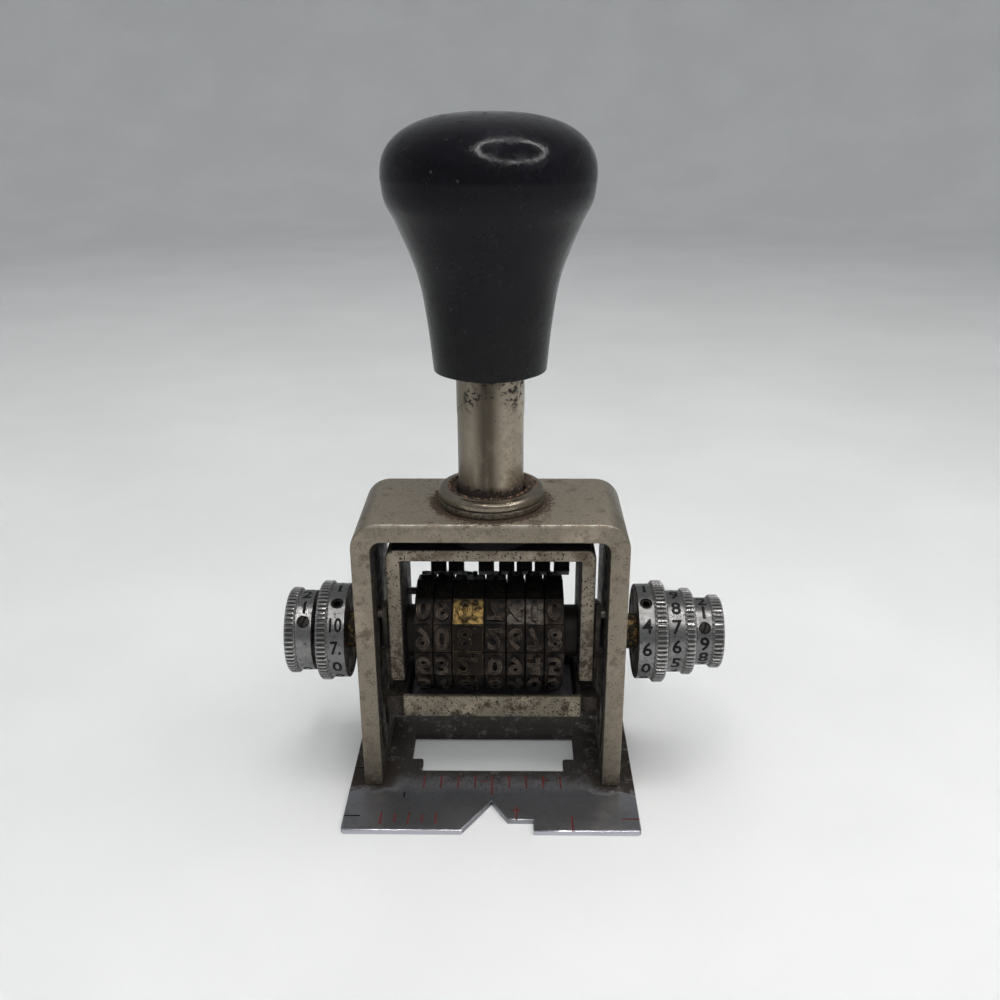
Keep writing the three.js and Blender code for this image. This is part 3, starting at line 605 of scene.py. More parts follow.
    def relief(self, height, depth, strength=1.0):
        """Raises the surface by depth millimetres where height is 1."""
        inputs = {"Height": height, "Distance": depth * MM, "Strength": strength}
        bump = self.node("ShaderNodeBump", inputs)
        if self.height is not None:
            self.feed(bump.inputs["Normal"], self.height)
        self.height = bump.outputs["Normal"]

    def done(self):
        for socket, value in self.values.items():
            self.feed(self.shader.inputs[socket], value)
        if self.height is not None:
            self.feed(self.shader.inputs["Normal"], self.height)
        return self.material


def worn_metal(name, base, roughness, pale=1.35, dull=0.55, metallic=0.9):
    """Old bare or plated metal: cloudy patches, fine mottling and hairlines."""
    finish = Finish(name, base, metallic, roughness)
    cloud = finish.noise(0.11, 4)
    finish.layer(finish.ramp(cloud, 0.45, 0.72), [c * pale for c in base], None, roughness - 0.08)
    mottle = finish.noise(0.8, 6, 0.72)
    finish.layer(finish.ramp(mottle, 0.48, 0.78, 0.8), [c * dull for c in base], None, roughness + 0.16)
    hairline = finish.noise(1.6, 3, 0.6, stretch=(0.12, 1, 3))
    finish.relief(hairline, 0.010)
    finish.relief(mottle, 0.016)
    return finish


def add_specks(finish, scale=1.1, size=0.34, share=0.5, where=None):
    """Black corrosion specks in loose patches, and wherever the mask is 1."""
    spread = finish.patches(0.40, 0.66, 0.16, 3, 0.6)
    if where is not None:
        spread = finish.either(spread, where)
    mask = finish.both(finish.dots(scale, size, share), spread)
    finish.layer(mask, colours().ink, 0.1, 0.8)
    finish.relief(mask, -0.04)


def add_stains(finish, tone, low=0.52, high=0.66, where=None):
    """Brown stains with ragged edges."""
    mask = finish.ramp(finish.noise(0.24, 7, 0.72), low, high)
    if where is not None:
        mask = finish.both(mask, where)
    finish.layer(mask, tone, 0.5, 0.6)


def add_scratches(finish, depth=0.02):
    """Fine bright scratches that run every way."""
    for stretch in ((0.5, 1, 0.16), (0.14, 1, 0.6)):
        lines = finish.noise(0.9, 2, 0.5, stretch=stretch, distortion=0.6)
        fine = finish.both(finish.ramp(lines, 0.493, 0.499), finish.ramp(lines, 0.507, 0.501))
        some = finish.both(fine, finish.patches(0.50, 0.60, 0.13, 2))
        finish.relief(some, -depth)


def nickel_finish():
    yoke = Span("yoke")
    finish = worn_metal("worn_nickel", colours().nickel, 0.42)
    top = finish.zone("z", yoke.high.z - 0.9, yoke.high.z - 0.1)
    # Painted light: the top faces are painted lighter, as if light from above falls on them.
    finish.layer(top, [c * 1.6 for c in colours().nickel], None, 0.46)
    add_stains(finish, (0.15, 0.120, 0.088), 0.52, 0.66)
    front = finish.zone("y", yoke.low.y + 0.9, yoke.low.y + 0.1, 0.6)
    add_specks(finish, 1.7, 0.24, 0.5, finish.either(top, front))
    add_specks(finish, 3.2, 0.30, 0.6, top)
    # Painted highlight: a bright thin line along the front edge of the top, broken up by noise.
    brink = finish.both(top, finish.zone("y", yoke.low.y + 0.28, yoke.low.y + 0.20))
    broken_highlight = finish.patches(0.46, 0.60, 0.7, 5, 0.7, stretch=(1, 0.3, 0.3))
    finish.layer(finish.both(brink, broken_highlight), (0.46, 0.43, 0.37), 1.0, 0.3)
    collar = Span("guide_collar").size.x / 2
    spill = finish.both(top, finish.ramp(finish.from_plunger(), collar + 4.2, collar - 0.4))
    grit = finish.math("ADD", finish.noise(1.8, 5, 0.75), finish.math("MULTIPLY", spill, 0.4))
    crumbs = finish.ramp(grit, 0.68, 0.76)
    finish.layer(finish.both(top, crumbs), (0.05, 0.032, 0.020), 0.1, 0.85)
    foot = finish.zone("z", yoke.low.z + 6.5, yoke.low.z)
    dirt = finish.patches(0.62, 0.44, 0.7, 6, 0.72)
    finish.layer(finish.both(foot, dirt), colours().grime, 0.2, 0.8)
    add_scratches(finish)
    finish.layer(finish.crevice(1.6), colours().grime, 0.1, 0.85)
    return finish.done()


def plunger_finish():
    collar = Span("guide_collar")
    finish = worn_metal("plunger_nickel", [c * 1.2 for c in colours().nickel], 0.27, metallic=0.97)
    drawn = finish.noise(1.2, 4, 0.6, stretch=(1, 1, 0.05))
    finish.relief(drawn, 0.006)
    # Painted reflection: a dark vertical band down the front of the tube, broken into blotches.
    dark_reflection_band = finish.both(
        finish.ramp(finish.apart("x", (-0.6, 0, 0)), 3.4, 0.4), finish.zone("y", 0.5, -1.5),
        finish.patches(0.05, 0.50, 0.5, 4, 0.6, stretch=(1, 1, 0.3)),
    )
    finish.layer(dark_reflection_band, (0.080, 0.066, 0.050), 0.9, 0.34)
    # Painted shade: the left side of the tube is painted darker.
    shaded_flank = finish.zone("x", -2.6, -5.6, 0.8)
    finish.layer(shaded_flank, (0.17, 0.145, 0.115), 0.9, 0.4)
    knob = Span("handle_knob")
    top = finish.zone("z", knob.low.z - 8, knob.low.z - 4)
    bottom = finish.zone("z", collar.high.z + 5, collar.high.z - 1)
    clusters = finish.patches(0.42, 0.5, 0.17, 2)
    flakes = finish.both(finish.patches(0.53, 0.565, 1.05, 5, 0.68), clusters)
    finish.layer(finish.both(top, flakes), (0.022, 0.016, 0.012), 0.1, 0.85)
    finish.relief(finish.both(top, flakes), -0.05)
    add_specks(finish, 2.0, 0.22, 0.45, finish.either(top, bottom))
    foot = finish.zone("z", collar.high.z + 3.4, collar.high.z - 2.6)
    ragged = finish.math("MULTIPLY", finish.noise(0.9, 6, 0.75), 1.8)
    crust = finish.ramp(finish.math("ADD", ragged, foot), 1.22, 1.28)
    finish.layer(crust, (0.024, 0.016, 0.011), 0.0, 0.85)
    finish.layer(finish.both(crust, finish.dots(1.7, 0.32, 0.6)), (0.12, 0.078, 0.052), 0.0, 0.9)
    finish.relief(crust, 0.1)
    return finish.done()


def collar_finish():
    collar = Span("guide_collar")
    finish = worn_metal("collar_nickel", [c * 0.85 for c in colours().nickel], 0.30, metallic=0.95)
    add_specks(finish, 1.6, 0.2)
    band = finish.zone("z", collar.high.z - 1.7, collar.high.z - 2.0)
    mottle = finish.patches(0.58, 0.44, 1.0, 6, 0.75)
    finish.layer(finish.both(band, mottle), (0.07, 0.055, 0.04), 0.5, 0.6)
    dish = finish.ramp(finish.from_plunger(), collar.size.x / 2 - 1.2, collar.size.x / 2 - 2.4)
    crust = finish.patches(0.26, 0.44, 1.1, 5, 0.75)
    above = finish.zone("z", collar.high.z - 2.2, collar.high.z - 1.6)
    finish.layer(finish.both(dish, crust, above), (0.040, 0.026, 0.018), 0.0, 0.9)
    finish.layer(finish.both(dish, finish.dots(1.7, 0.32, 0.6), above), (0.14, 0.09, 0.06), 0.0, 0.9)
    finish.layer(finish.crevice(0.9, 0.9, 0.5), colours().ink, 0.0, 0.85)
    finish.relief(finish.both(dish, crust), 0.12)
    return finish.done()


def crust_finish():
    finish = Finish("dried_crust", (0.020, 0.013, 0.010), 0.0, 0.9)
    finish.layer(finish.patches(0.5, 0.60, 1.2, 4, 0.7), (0.20, 0.12, 0.075), None, 0.95)
    finish.relief(finish.noise(4.0, 4, 0.7), 0.05)
    return finish.done()


def shade_and_soot_finish():
    """Inner faces, painted dark as the shade inside the arch and the gaps, with ink that was never wiped."""
    finish = worn_metal("shade_and_soot_metal", (0.070, 0.060, 0.050), 0.55, pale=1.7, dull=0.3, metallic=0.75)
    finish.layer(finish.patches(0.56, 0.42, 0.35, 6, 0.75), (0.020, 0.015, 0.011), 0.2, 0.8)
    add_specks(finish, 1.2, 0.26, 0.7, finish.patches(0.3, 0.5, 0.05))
    return finish.done()


def carriage_finish():
    carriage = Span("carriage_frame")
    finish = worn_metal("carriage_nickel", [c * 0.95 for c in colours().nickel], 0.44)
    add_stains(finish, (0.12, 0.088, 0.06), 0.46, 0.66)
    everywhere = finish.patches(0.25, 0.45, 0.07, 3)
    add_specks(finish, 1.1, 0.24, 0.45, everywhere)
    add_specks(finish, 1.7, 0.32, 0.7, everywhere)
    low = finish.zone("z", carriage.low.z + 24, carriage.low.z + 2)
    muck = finish.patches(0.60, 0.44, 0.8, 6, 0.75)
    finish.layer(finish.both(low, muck), (0.045, 0.030, 0.020), 0.2, 0.8)
    # Painted shade and ink: the top of the carriage, in the narrow gap under the yoke, is painted dark.
    top = finish.zone("z", carriage.high.z - 0.35, carriage.high.z - 0.1)
    finish.layer(finish.either(top, finish.crevice(1.2)), colours().ink, 0.2, 0.7)
    return finish.done()


def gauge_finish():
    plate = Span("base_plate")
    finish = worn_metal("gauge_steel", colours().steel, 0.36, pale=1.3, dull=0.6, metallic=0.92)
    brushed = finish.noise(2.2, 3, 0.6, stretch=(0.06, 1, 1))
    finish.relief(brushed, 0.008)
    yoke = Span("yoke")
    ragged = finish.math("MULTIPLY", finish.noise(0.35, 6, 0.7), 9.0)
    depth = finish.math("ADD", finish.along("y"), ragged)
    # Painted shade and ink: the plate behind the yoke's front, under the mechanism, is painted dark with a
    # ragged edge, darker still by the legs.
    behind = finish.ramp(depth, yoke.low.y + 1.5, yoke.low.y + 9.0)
    finish.layer(behind, (0.045, 0.039, 0.034), 0.4, 0.7)
    leg = finish.ramp(finish.apart("x"), yoke.high.x - 8.5, yoke.high.x - 4.5)
    near_leg = finish.both(leg, finish.ramp(depth, yoke.low.y + 1.5, yoke.low.y + 4.0))
    finish.layer(near_leg, (0.020, 0.014, 0.010), 0.1, 0.85)
    spill = finish.both(finish.ramp(depth, yoke.low.y - 1.0, yoke.low.y + 4.0), finish.dots(1.3, 0.26, 0.7))
    rubbed = finish.both(behind, finish.patches(0.52, 0.66, 0.42, 7, 0.78))
    finish.layer(rubbed, (0.15, 0.145, 0.138), 0.85, 0.42)
    finish.layer(spill, colours().ink, 0.0, 0.85)
    add_specks(finish, 0.9, 0.12, 0.3)
    # Painted highlight: a bright line along the front edge of the plate.
    bright = finish.zone("y", plate.low.y + 0.5, plate.low.y + 0.2)
    finish.layer(bright, (0.50, 0.50, 0.56), 1.0, 0.2)
    return finish.done()


def dial_finish():
    finish = worn_metal("dial_metal", colours().dial, 0.30, pale=1.25, dull=0.5, metallic=0.97)
    pitting = finish.patches(0.54, 0.66, 1.1, 6, 0.75)
    finish.layer(pitting, (0.06, 0.054, 0.046), 0.6, 0.5)
    add_specks(finish, 1.8, 0.16, 0.4)
    finish.layer(finish.crevice(0.6, 0.92, 0.5), (0.022, 0.019, 0.016), 0.2, 0.8)
    return finish.done()


def knurl_finish():
    # Painted highlight: the knurled rim is painted twice as light as the dial, for the glints on its teeth.
    bright = [c * 2.0 for c in colours().dial]
    finish = worn_metal("dial_knurl", bright, 0.24, pale=1.3, dull=0.45, metallic=1.0)
    finish.layer(finish.patches(0.52, 0.68, 0.9, 6, 0.75), (0.13, 0.115, 0.10), 0.8, 0.4)
    finish.layer(finish.crevice(0.65, 0.96, 0.64), (0.016, 0.014, 0.012), 0.2, 0.8)
    return finish.done()


WIPED_ROW = 5  # flats up from the bottom, over the front


def wiped_flat(finish):
    """1 on the flats of the row that shows at the top of the front, 0 on the others."""
    angle = math.radians(-90) + WIPED_ROW * FULL_TURN / TYPE_POSITIONS
    place = finish.coordinates(origin=(0, 0, AXLE_Z))

    def reach(direction):
        dot = finish.node("ShaderNodeVectorMath", {0: place, 1: direction}, operation="DOT_PRODUCT")
        return dot.outputs["Value"]

    out = reach((0, -math.cos(angle), math.sin(angle)))
    across = finish.math("ABSOLUTE", reach((0, math.sin(angle), math.cos(angle))), 0.0)
    return finish.both(finish.ramp(out, 10.85, 10.98), finish.ramp(across, 2.75, 2.6))


def bare_and_highlit_edges(finish):
    """1 on the figures' edges, which are rubbed down to bare metal and painted lighter as a highlight."""
    return finish.both(finish.rim(0.14), finish.patches(0.42, 0.56, 0.5, 4, 0.7))


def wet_ink(finish):
    """The black ink that lies on the top of the drum and in its corners."""
    top = finish.zone("z", AXLE_Z + 9.0, AXLE_Z + 10.2)
    low = finish.zone("z", AXLE_Z - 4.5, AXLE_Z - 7.5)
    finish.layer(finish.either(top, low), (0.004, 0.0035, 0.003), 0.0, 0.5)
    finish.layer(finish.crevice(0.7, 0.9, 0.4), colours().ink, 0.1, 0.45)


def type_finish(name="inked_type", wiped=False):
    finish = Finish(name, (0.008, 0.0065, 0.0055), 0.2, 0.34, Specular_IOR_Level=0.14)
    if wiped:
        blotch = finish.patches(0.60, 0.46, 0.8, 6, 0.75)
        finish.layer(finish.both(wiped_flat(finish), blotch), (0.12, 0.107, 0.093), 0.9, 0.36)
    face = finish.ramp(finish.from_axle(), 11.55, 11.80)
    rubbed = finish.patches(0.42, 0.60, 0.7, 5, 0.7)
    finish.layer(finish.both(face, rubbed), (0.075, 0.058, 0.046), 0.7, 0.42)
    # Bare metal and a painted highlight on the figures' edges.
    finish.layer(finish.both(face, bare_and_highlit_edges(finish)), (0.32, 0.27, 0.22), 1.0, 0.3)
    rust = finish.patches(0.46, 0.62, 0.33, 4, 0.7)
    finish.layer(finish.both(rust, rubbed), (0.055, 0.038, 0.027), 0.4, 0.5)
    finish.relief(finish.noise(1.4, 6, 0.75), 0.16)
    wet_ink(finish)
    return finish.done()


def wiped_type_finish():
    return type_finish("wiped_type", True)


def brass_type_finish():
    finish = Finish("inked_brass", colours().brass, 0.92, 0.36, Specular_IOR_Level=0.14)
    ink = finish.patches(0.44, 0.58, 0.8, 6, 0.75)
    finish.layer(ink, (0.045, 0.030, 0.012), 0.5, 0.5)
    unwiped = finish.math("SUBTRACT", 1.0, wiped_flat(finish))
    finish.layer(unwiped, (0.011, 0.008, 0.006), 0.4, 0.42)
    # Bare metal and a painted highlight on the figures' edges.
    finish.layer(finish.both(unwiped, bare_and_highlit_edges(finish)), (0.30, 0.23, 0.12), 1.0, 0.3)
    finish.relief(finish.noise(1.4, 6, 0.75), 0.14)
    wet_ink(finish)
    return finish.done()


def brass_finish():
    finish = worn_metal("aged_brass", colours().brass, 0.34)
    finish.layer(finish.patches(0.62, 0.50, 0.8, 5, 0.72), (0.022, 0.016, 0.010), 0.3, 0.6)
    # Painted shade: the tube is painted dark inside the yoke and in the gap between the yoke and the dials.
    inside = finish.ramp(finish.apart("x"), 26.5, 24.0)
    finish.layer(inside, (0.014, 0.010, 0.008), 0.4, 0.6)
    return finish.done()


def dark_steel_finish():
    finish = worn_metal("dark_steel", (0.022, 0.020, 0.018), 0.5, pale=1.8, dull=0.5, metallic=0.6)
    add_specks(finish, 1.3, 0.4)
    return finish.done()


def screw_finish():
    finish = worn_metal("screw_steel", (0.13, 0.12, 0.11), 0.42, pale=1.6, dull=0.5)
    finish.layer(finish.crevice(0.5), colours().ink, 0.1, 0.7)
    return finish.done()


def black_screw_finish():
    finish = worn_metal("blackened_screw", (0.014, 0.012, 0.011), 0.45, pale=1.8, dull=0.5, metallic=0.6)
    finish.layer(finish.crevice(0.7, 0.95, 0.6), (0.003, 0.003, 0.003), 0.0, 0.8)
    return finish.done()


def spring_finish():
    return worn_metal("spring_steel", (0.20, 0.19, 0.18), 0.38).done()


def tray_finish():
    tray = Span("ink_tray")
    finish = worn_metal("tray_metal", (0.20, 0.172, 0.128), 0.5, pale=1.7, dull=0.6, metallic=0.6)
    add_stains(finish, (0.060, 0.044, 0.028), 0.50, 0.62)
    finish.layer(finish.patches(0.55, 0.63, 0.9, 6, 0.78), (0.030, 0.022, 0.015), 0.2, 0.75)
    for scale, size in ((1.1, 0.25), (2.2, 0.30)):
        crumbs = finish.dots(scale, size, 0.8)
        finish.layer(crumbs, colours().ink, 0.0, 0.85)
        finish.relief(crumbs, -0.05)
    # Painted shade: the ends of the tray and everything behind its front face are painted dark, as they lie
    # under the drum.
    ends = finish.ramp(finish.apart("x"), tray.size.x / 2 - 0.7, tray.size.x / 2 - 0.1)
    inside = finish.zone("y", tray.low.y + 0.7, tray.low.y + 1.1)
    finish.layer(finish.either(ends, inside), (0.018, 0.013, 0.010), 0.1, 0.8)
    return finish.done()


def knob_finish():
    knob = Span("handle_knob")
    finish = Finish("black_phenolic", colours().phenolic, 0.0, 0.13, Specular_IOR_Level=0.16)
    bloom = finish.patches(0.42, 0.68, 0.10, 5, 0.65)
    finish.layer(bloom, (0.0055, 0.005, 0.0075), None, 0.20)
    neck = finish.zone("z", knob.low.z + 22, knob.low.z + 4)
    finish.layer(neck, (0.0055, 0.0055, 0.0065), None, 0.27)
    hairline = finish.noise(0.16, 2, 0.4, distortion=1.4)
    line = finish.both(finish.ramp(hairline, 0.4965, 0.4995), finish.ramp(hairline, 0.5035, 0.5005))
    scratch = finish.both(line, finish.patches(0.52, 0.60, 0.09, 2))
    finish.layer(scratch, (0.016, 0.015, 0.018), None, 0.4)
    finish.relief(scratch, -0.02)
    scuffs = finish.dots(0.45, 0.13, 0.3)
    finish.layer(scuffs, (0.03, 0.028, 0.03), None, 0.5)
    cloudy = finish.patches(0.48, 0.68, 0.32, 7, 0.72, distortion=0.5)
    finish.layer(cloudy, None, None, 0.34)
    finish.relief(finish.noise(0.30, 4, 0.6), 0.09)
    return finish.done()


def felt_finish():
    finish = Finish("inked_felt", colours().felt, 0.0, 0.82, Sheen_Weight=0.25, Sheen_Roughness=0.5)
    fibre = finish.noise(3.2, 5, 0.75, stretch=(0.5, 1, 1), distortion=1.5)
    finish.layer(finish.ramp(fibre, 0.45, 0.7), (0.045, 0.036, 0.050), None, 0.7)
    wet = finish.patches(0.48, 0.62, 0.28, 4, 0.7)
    finish.layer(wet, None, None, 0.4)
    finish.relief(fibre, 0.18)
    return finish.done()


def rubber_finish():
    finish = Finish("buffer_rubber", (0.006, 0.005, 0.005), 0.0, 0.9, Specular_IOR_Level=0.15)
    finish.layer(finish.patches(0.45, 0.7, 0.8, 4, 0.7), (0.012, 0.010, 0.009), None, 0.95)
    finish.relief(finish.noise(2.0, 4, 0.7), 0.05)
    return finish.done()


def paint_finish():
    finish = Finish("mark_paint", colours().paint, 0.0, 0.55)
    worn = finish.patches(0.46, 0.62, 1.6, 4, 0.7)
    finish.layer(worn, (0.06, 0.022, 0.018), 0.2, 0.6)
    return finish.done()


def ink_fill_finish():
    finish = Finish("number_fill", (0.004, 0.004, 0.005), 0.0, 0.6, Specular_IOR_Level=0.2)
    finish.layer(finish.patches(0.62, 0.70, 2.5, 3), (0.03, 0.028, 0.026), 0.3, 0.5)
    return finish.done()


def floor_finish():
    finish = Finish("pale_floor", colours().floor, 0.0, 0.62)
    finish.layer(finish.patches(0.35, 0.7, 0.012, 3), (0.76, 0.77, 0.77), None, None)
    finish.relief(finish.noise(0.5, 5, 0.7), 0.01)
    return finish.done()


MAKERS = (
    nickel_finish, plunger_finish, collar_finish, crust_finish, shade_and_soot_finish, carriage_finish,
    gauge_finish, dial_finish, knurl_finish, type_finish, wiped_type_finish, brass_type_finish,
    brass_finish, dark_steel_finish, screw_finish, black_screw_finish, spring_finish, tray_finish,
    knob_finish, felt_finish, rubber_finish, paint_finish, ink_fill_finish, floor_finish,
)
FINISHES = {maker.__name__.removesuffix("_finish"): maker for maker in MAKERS}
made_finishes = {}


def finish_named(name):
    if name not in made_finishes:
        made_finishes[name] = FINISHES[name]()
    return made_finishes[name]


# ---- gauge plate and its screws


WINDOW_SHOULDER = 3.0  # how far in front of the axle the window's full width reaches
WINDOW_FRONT = 7.0
WHEEL_REACH = 11.86  # radius of a type wheel in the frame
PAPER_GAP = 0.24  # under the type when the plunger is down
TAB_INSET = 2.4
WINDOW_END_MARGIN = 2.6  # from the row of wheels to the window's end
NOTCH = ((-5.73, -25.6), (0.0, -16.8), (3.27, -22.35), (8.3, -22.35), (8.3, -25.6))
LEG_SCREWS = ("front_left", "front_right", "back_left", "back_right")


def leg_screw_solid(gap=0.0, overcut=0.0):
    """A countersunk screw that points up, or with a gap the hole that takes it."""
    screw = Span("leg_screw_front_left")
    head = screw.size.x / 2 + gap
    shank = 0.5 * screw.size.x / 2 + gap
    low, high = screw.low.z - overcut, screw.high.z + gap
    profile = [(0, low), (head, low), (head, 0.15), (shank, 0.75), (shank, high), (0, high)]
    return turned(profile, 40)


def leg_screw_holes():
    places = [Span(f"leg_screw_{name}").middle for name in LEG_SCREWS]
    return [shifted(leg_screw_solid(WALL_GAP, OVERCUT), place.x, place.y) for place in places]


def screw_slot(head, width, depth, top=0.0):
    """The tool that cuts a screwdriver's slot across a head whose face is at the top."""
    return block((-head - OVERCUT, -width / 2, top - depth), (head + OVERCUT, width / 2, top + OVERCUT))


# Gauge marks that run from the front back, as (x, front, back), and across, as (y, left, right).
DEEP_MARKS = ((15.85, -25.7, -21.2), (4.95, -22.4, -18.3))
CROSS_MARKS = ((-10.6, -2.3, -0.7), (-10.4, 10.2, 11.6), (-19.6, 4.0, 5.9))
SCALE_MARKS = (-12.9, -8.7)  # the front and back of a mark in the row, and of its middle one
MIDDLE_MARK = (-15.0, -8.3)
FRONT_BARS = (3.6, 2.4, 3.6, 2.4, 3.6)  # the plain row that shows which side is the front
RED, BLACK = 1, 2  # the material index of a mark's filling


def gauge_ticks(top):
    """The tools that engrave the gauge marks."""
    half = mm(marks().tick_width) / 2
    pitch = mm(marks().tick_pitch)
    low, high = top - mm(marks().tick_depth), top + OVERCUT
    plate = Span("base_plate")
    tools = []

    def deep(x, front, back, filling=RED):
        tools.append(painted(block((x - half, front, low), (x + half, back, high)), filling))

    def cross(y, left, right, filling=RED):
        tools.append(painted(block((left, y - half, low), (right, y + half, high)), filling))

    for k in range(-4, 5):
        deep(k * pitch, *(SCALE_MARKS if k else MIDDLE_MARK))
    for mark in CROSS_MARKS:
        cross(*mark)
    for mark in DEEP_MARKS:
        deep(*mark)
    cross(-22, plate.high.x - 3.5, plate.high.x + 0.1)
    cross(-21.5, plate.low.x - 0.1, plate.low.x + 3.3, BLACK)
    deep(-17.7, -15.9, -14.1, BLACK)
    cross(-6.4, plate.low.x - 0.1, plate.low.x + 2.0, BLACK)
    for k, height in enumerate(FRONT_BARS):
        deep(-21.6 + 2.7 * k, -22.05 - height / 2, -22.05 + height / 2)
    return tools


def build_base_plate():
    plate = Span("base_plate")
    drum = (Span("type_wheel_1"), Span("type_wheel_7"))
    window_half = (drum[1].high.x - drum[0].low.x) / 2 + WINDOW_END_MARGIN
    sink = plate.high.z - PAPER_GAP
    window_back = math.sqrt(2 * WHEEL_REACH * sink - sink**2) + 1.0
    tab_half = window_half - TAB_INSET
    corner = 1.0
    outline = [(x, y, 0) for x, y in reversed(NOTCH)]
    outline += [
        (plate.low.x, plate.low.y, corner), (plate.low.x, plate.high.y, corner),
        (plate.high.x, plate.high.y, corner), (plate.high.x, plate.low.y, corner),
    ]
    body = slab(rounded_outline(outline, 8), plate.low.z, plate.high.z)
    window = [
        (-window_half, -WINDOW_SHOULDER, 0.3), (-window_half, window_back, 0.3),
        (window_half, window_back, 0.3), (window_half, -WINDOW_SHOULDER, 0.3),
        (tab_half, -WINDOW_SHOULDER, 0.5), (tab_half, -WINDOW_FRONT, 0.4),
        (-tab_half, -WINDOW_FRONT, 0.4), (-tab_half, -WINDOW_SHOULDER, 0.5),
    ]
    tool = slab(rounded_outline(window, 5), plate.low.z - OVERCUT, plate.high.z + OVERCUT)
    body = carved(body, tool)
    upper = plate.high.z - 0.01
    softened(body, mm(edges().plate), 3, 40, lambda edge: min(v.co.z for v in edge.verts) > upper)
    body = carved(body, *leg_screw_holes(), *gauge_ticks(plate.high.z))
    finished(body, "base_plate", "gauge_steel", "gauge", "paint", "ink_fill")


def build_leg_screws():
    for name in LEG_SCREWS:
        node = f"leg_screw_{name}"
        span = Span(node)
        slot = moved(screw_slot(span.size.x / 2, 0.5, 0.4), Matrix.Rotation(math.pi, 4, "X"))
        turn = Matrix.Rotation(0.4 + 0.9 * LEG_SCREWS.index(name), 4, "Z")
        body = carved(leg_screw_solid(), shifted(moved(slot, turn), z=span.low.z))
        finished(shifted(body, span.middle.x, span.middle.y), node, "screw_steel", "screw")


class STAMP_OT_base_plate(bpy.types.Operator):
    """Builds the gauge plate with its engraved marks, and the four screws under it"""

    bl_idname = "stamp.base_plate"
    bl_label = "Gauge Plate"

    def execute(self, context):
        build_base_plate()
        build_leg_screws()
        return {"FINISHED"}


# ---- yoke


YOKE_THICKNESS = 3.76
YOKE_BENDS = (5.2, 2.0)  # the radii of its bends, outside and inside
COLLAR_WALL = 1.4  # of the collar's spigot
CAM_PIN_ANGLE = math.radians(130)
GROOVE_DEPTH = 1.5
GROOVE_CLEARANCE = 0.3
GROOVE_STEPS = 16


def cam_pin_place(travel):
    """The follower pin's centre in y and z when the plunger is down by the travel."""
    pin = Span("cam_pin_right").middle
    reach = math.hypot(pin.y, pin.z - AXLE_Z)
    angle = CAM_PIN_ANGLE + swing_range() * travel / slide_travel()
    return Vector((reach * math.cos(angle), AXLE_Z - travel + reach * math.sin(angle)))


def groove_outline(radius):
    """The outline of the follower's track: its path, widened by the radius and round at both ends."""
    path = [cam_pin_place(slide_travel() * k / GROOVE_STEPS) for k in range(GROOVE_STEPS + 1)]
    tangents = [(b - a).normalized() for a, b in zip(path, path[1:])]
    tangents.append(tangents[-1])
    sides = [Vector((-t.y, t.x)) * radius for t in tangents]
    left = [p + s for p, s in zip(path, sides)]
    right = [p - s for p, s in zip(path, sides)]

    def cap(centre, side, steps=8):
        turn = [Matrix.Rotation(-math.pi * k / steps, 2) for k in range(1, steps)]
        return [centre + t @ side for t in turn]

    return left + cap(path[-1], sides[-1]) + right[::-1] + cap(path[0], -sides[0])


def stadium(radius, low, high, steps=20):
    """A slot's outline in y and z with round ends centred at low and high."""
    low, high, bend = low - radius, high + radius, radius - 0.001
    corners = [(-radius, low, bend), (radius, low, bend), (radius, high, bend), (-radius, high, bend)]
    return rounded_outline(corners, steps)


def darken_inner(body, inner, ceiling, index=1):
    """Gives the faces that look into the arch their own material, dark as painted shade with ink."""
    for face in body.faces:
        centre = face.calc_center_median()
        faces_in = face.normal.x * centre.x < -0.5 * abs(centre.x) or face.normal.z < -0.5
        if faces_in and abs(centre.x) < inner + 0.4 and centre.z < ceiling + 0.4:
            face.material_index = index


def build_yoke():
    yoke = Span("yoke")
    pin = Span("cam_pin_right")
    spigot = Span("plunger_tube").size.x / 2 + RUNNING_GAP + COLLAR_WALL + WALL_GAP
    top, foot, outer = yoke.high.z, yoke.low.z, yoke.high.x
    inner, ceiling = outer - YOKE_THICKNESS, top - YOKE_THICKNESS
    body = slab(arch_outline(outer, inner, foot, top, ceiling, *YOKE_BENDS), yoke.low.y, yoke.high.y, "y")
    softened(body, mm(edges().strap), 3, 50)
    cross = Span("spring_cross_pin")
    half, side = cross.size.x / 2 + WALL_GAP, cross.size.z / 2 + WALL_GAP
    shaft = Span("wheel_tube_left").size.z / 2 + 2 * RUNNING_GAP
    slot = stadium(shaft, AXLE_Z - slide_travel(), AXLE_Z)
    groove = groove_outline(pin.size.z / 2 + GROOVE_CLEARANCE)
    tools = [
        rod(spigot, ceiling - OVERCUT, top + OVERCUT, 96),
        block((-half, -side, cross.low.z - WALL_GAP), (half, side, top + OVERCUT)),
    ]
    for across in (1, -1):
        for outline, reach in ((slot, outer + OVERCUT), (groove, inner + GROOVE_DEPTH)):
            tool = slab(outline, inner - OVERCUT, reach, "x")
            tools.append(painted(tool if across > 0 else mirrored(tool), 1))
    body = carved(body, *tools, *leg_screw_holes())
    darken_inner(body, inner, ceiling)
    finished(body, "yoke", "nickel_plate", "nickel", "shade_and_soot", "shade_and_soot")


class STAMP_OT_yoke(bpy.types.Operator):
    """Builds the yoke with its shaft slots and cam grooves"""

    bl_idname = "stamp.yoke"
    bl_label = "Yoke"

    def execute(self, context):
        build_yoke()
        return {"FINISHED"}


# ---- collar and plunger


TUBE_WALL = 1.55
STUD_RADIUS = 3.2  # of the plunger's foot, which goes through the carriage
CRUMBS = 300
GOLDEN_TURN = 2.39996  # spreads things evenly round a circle


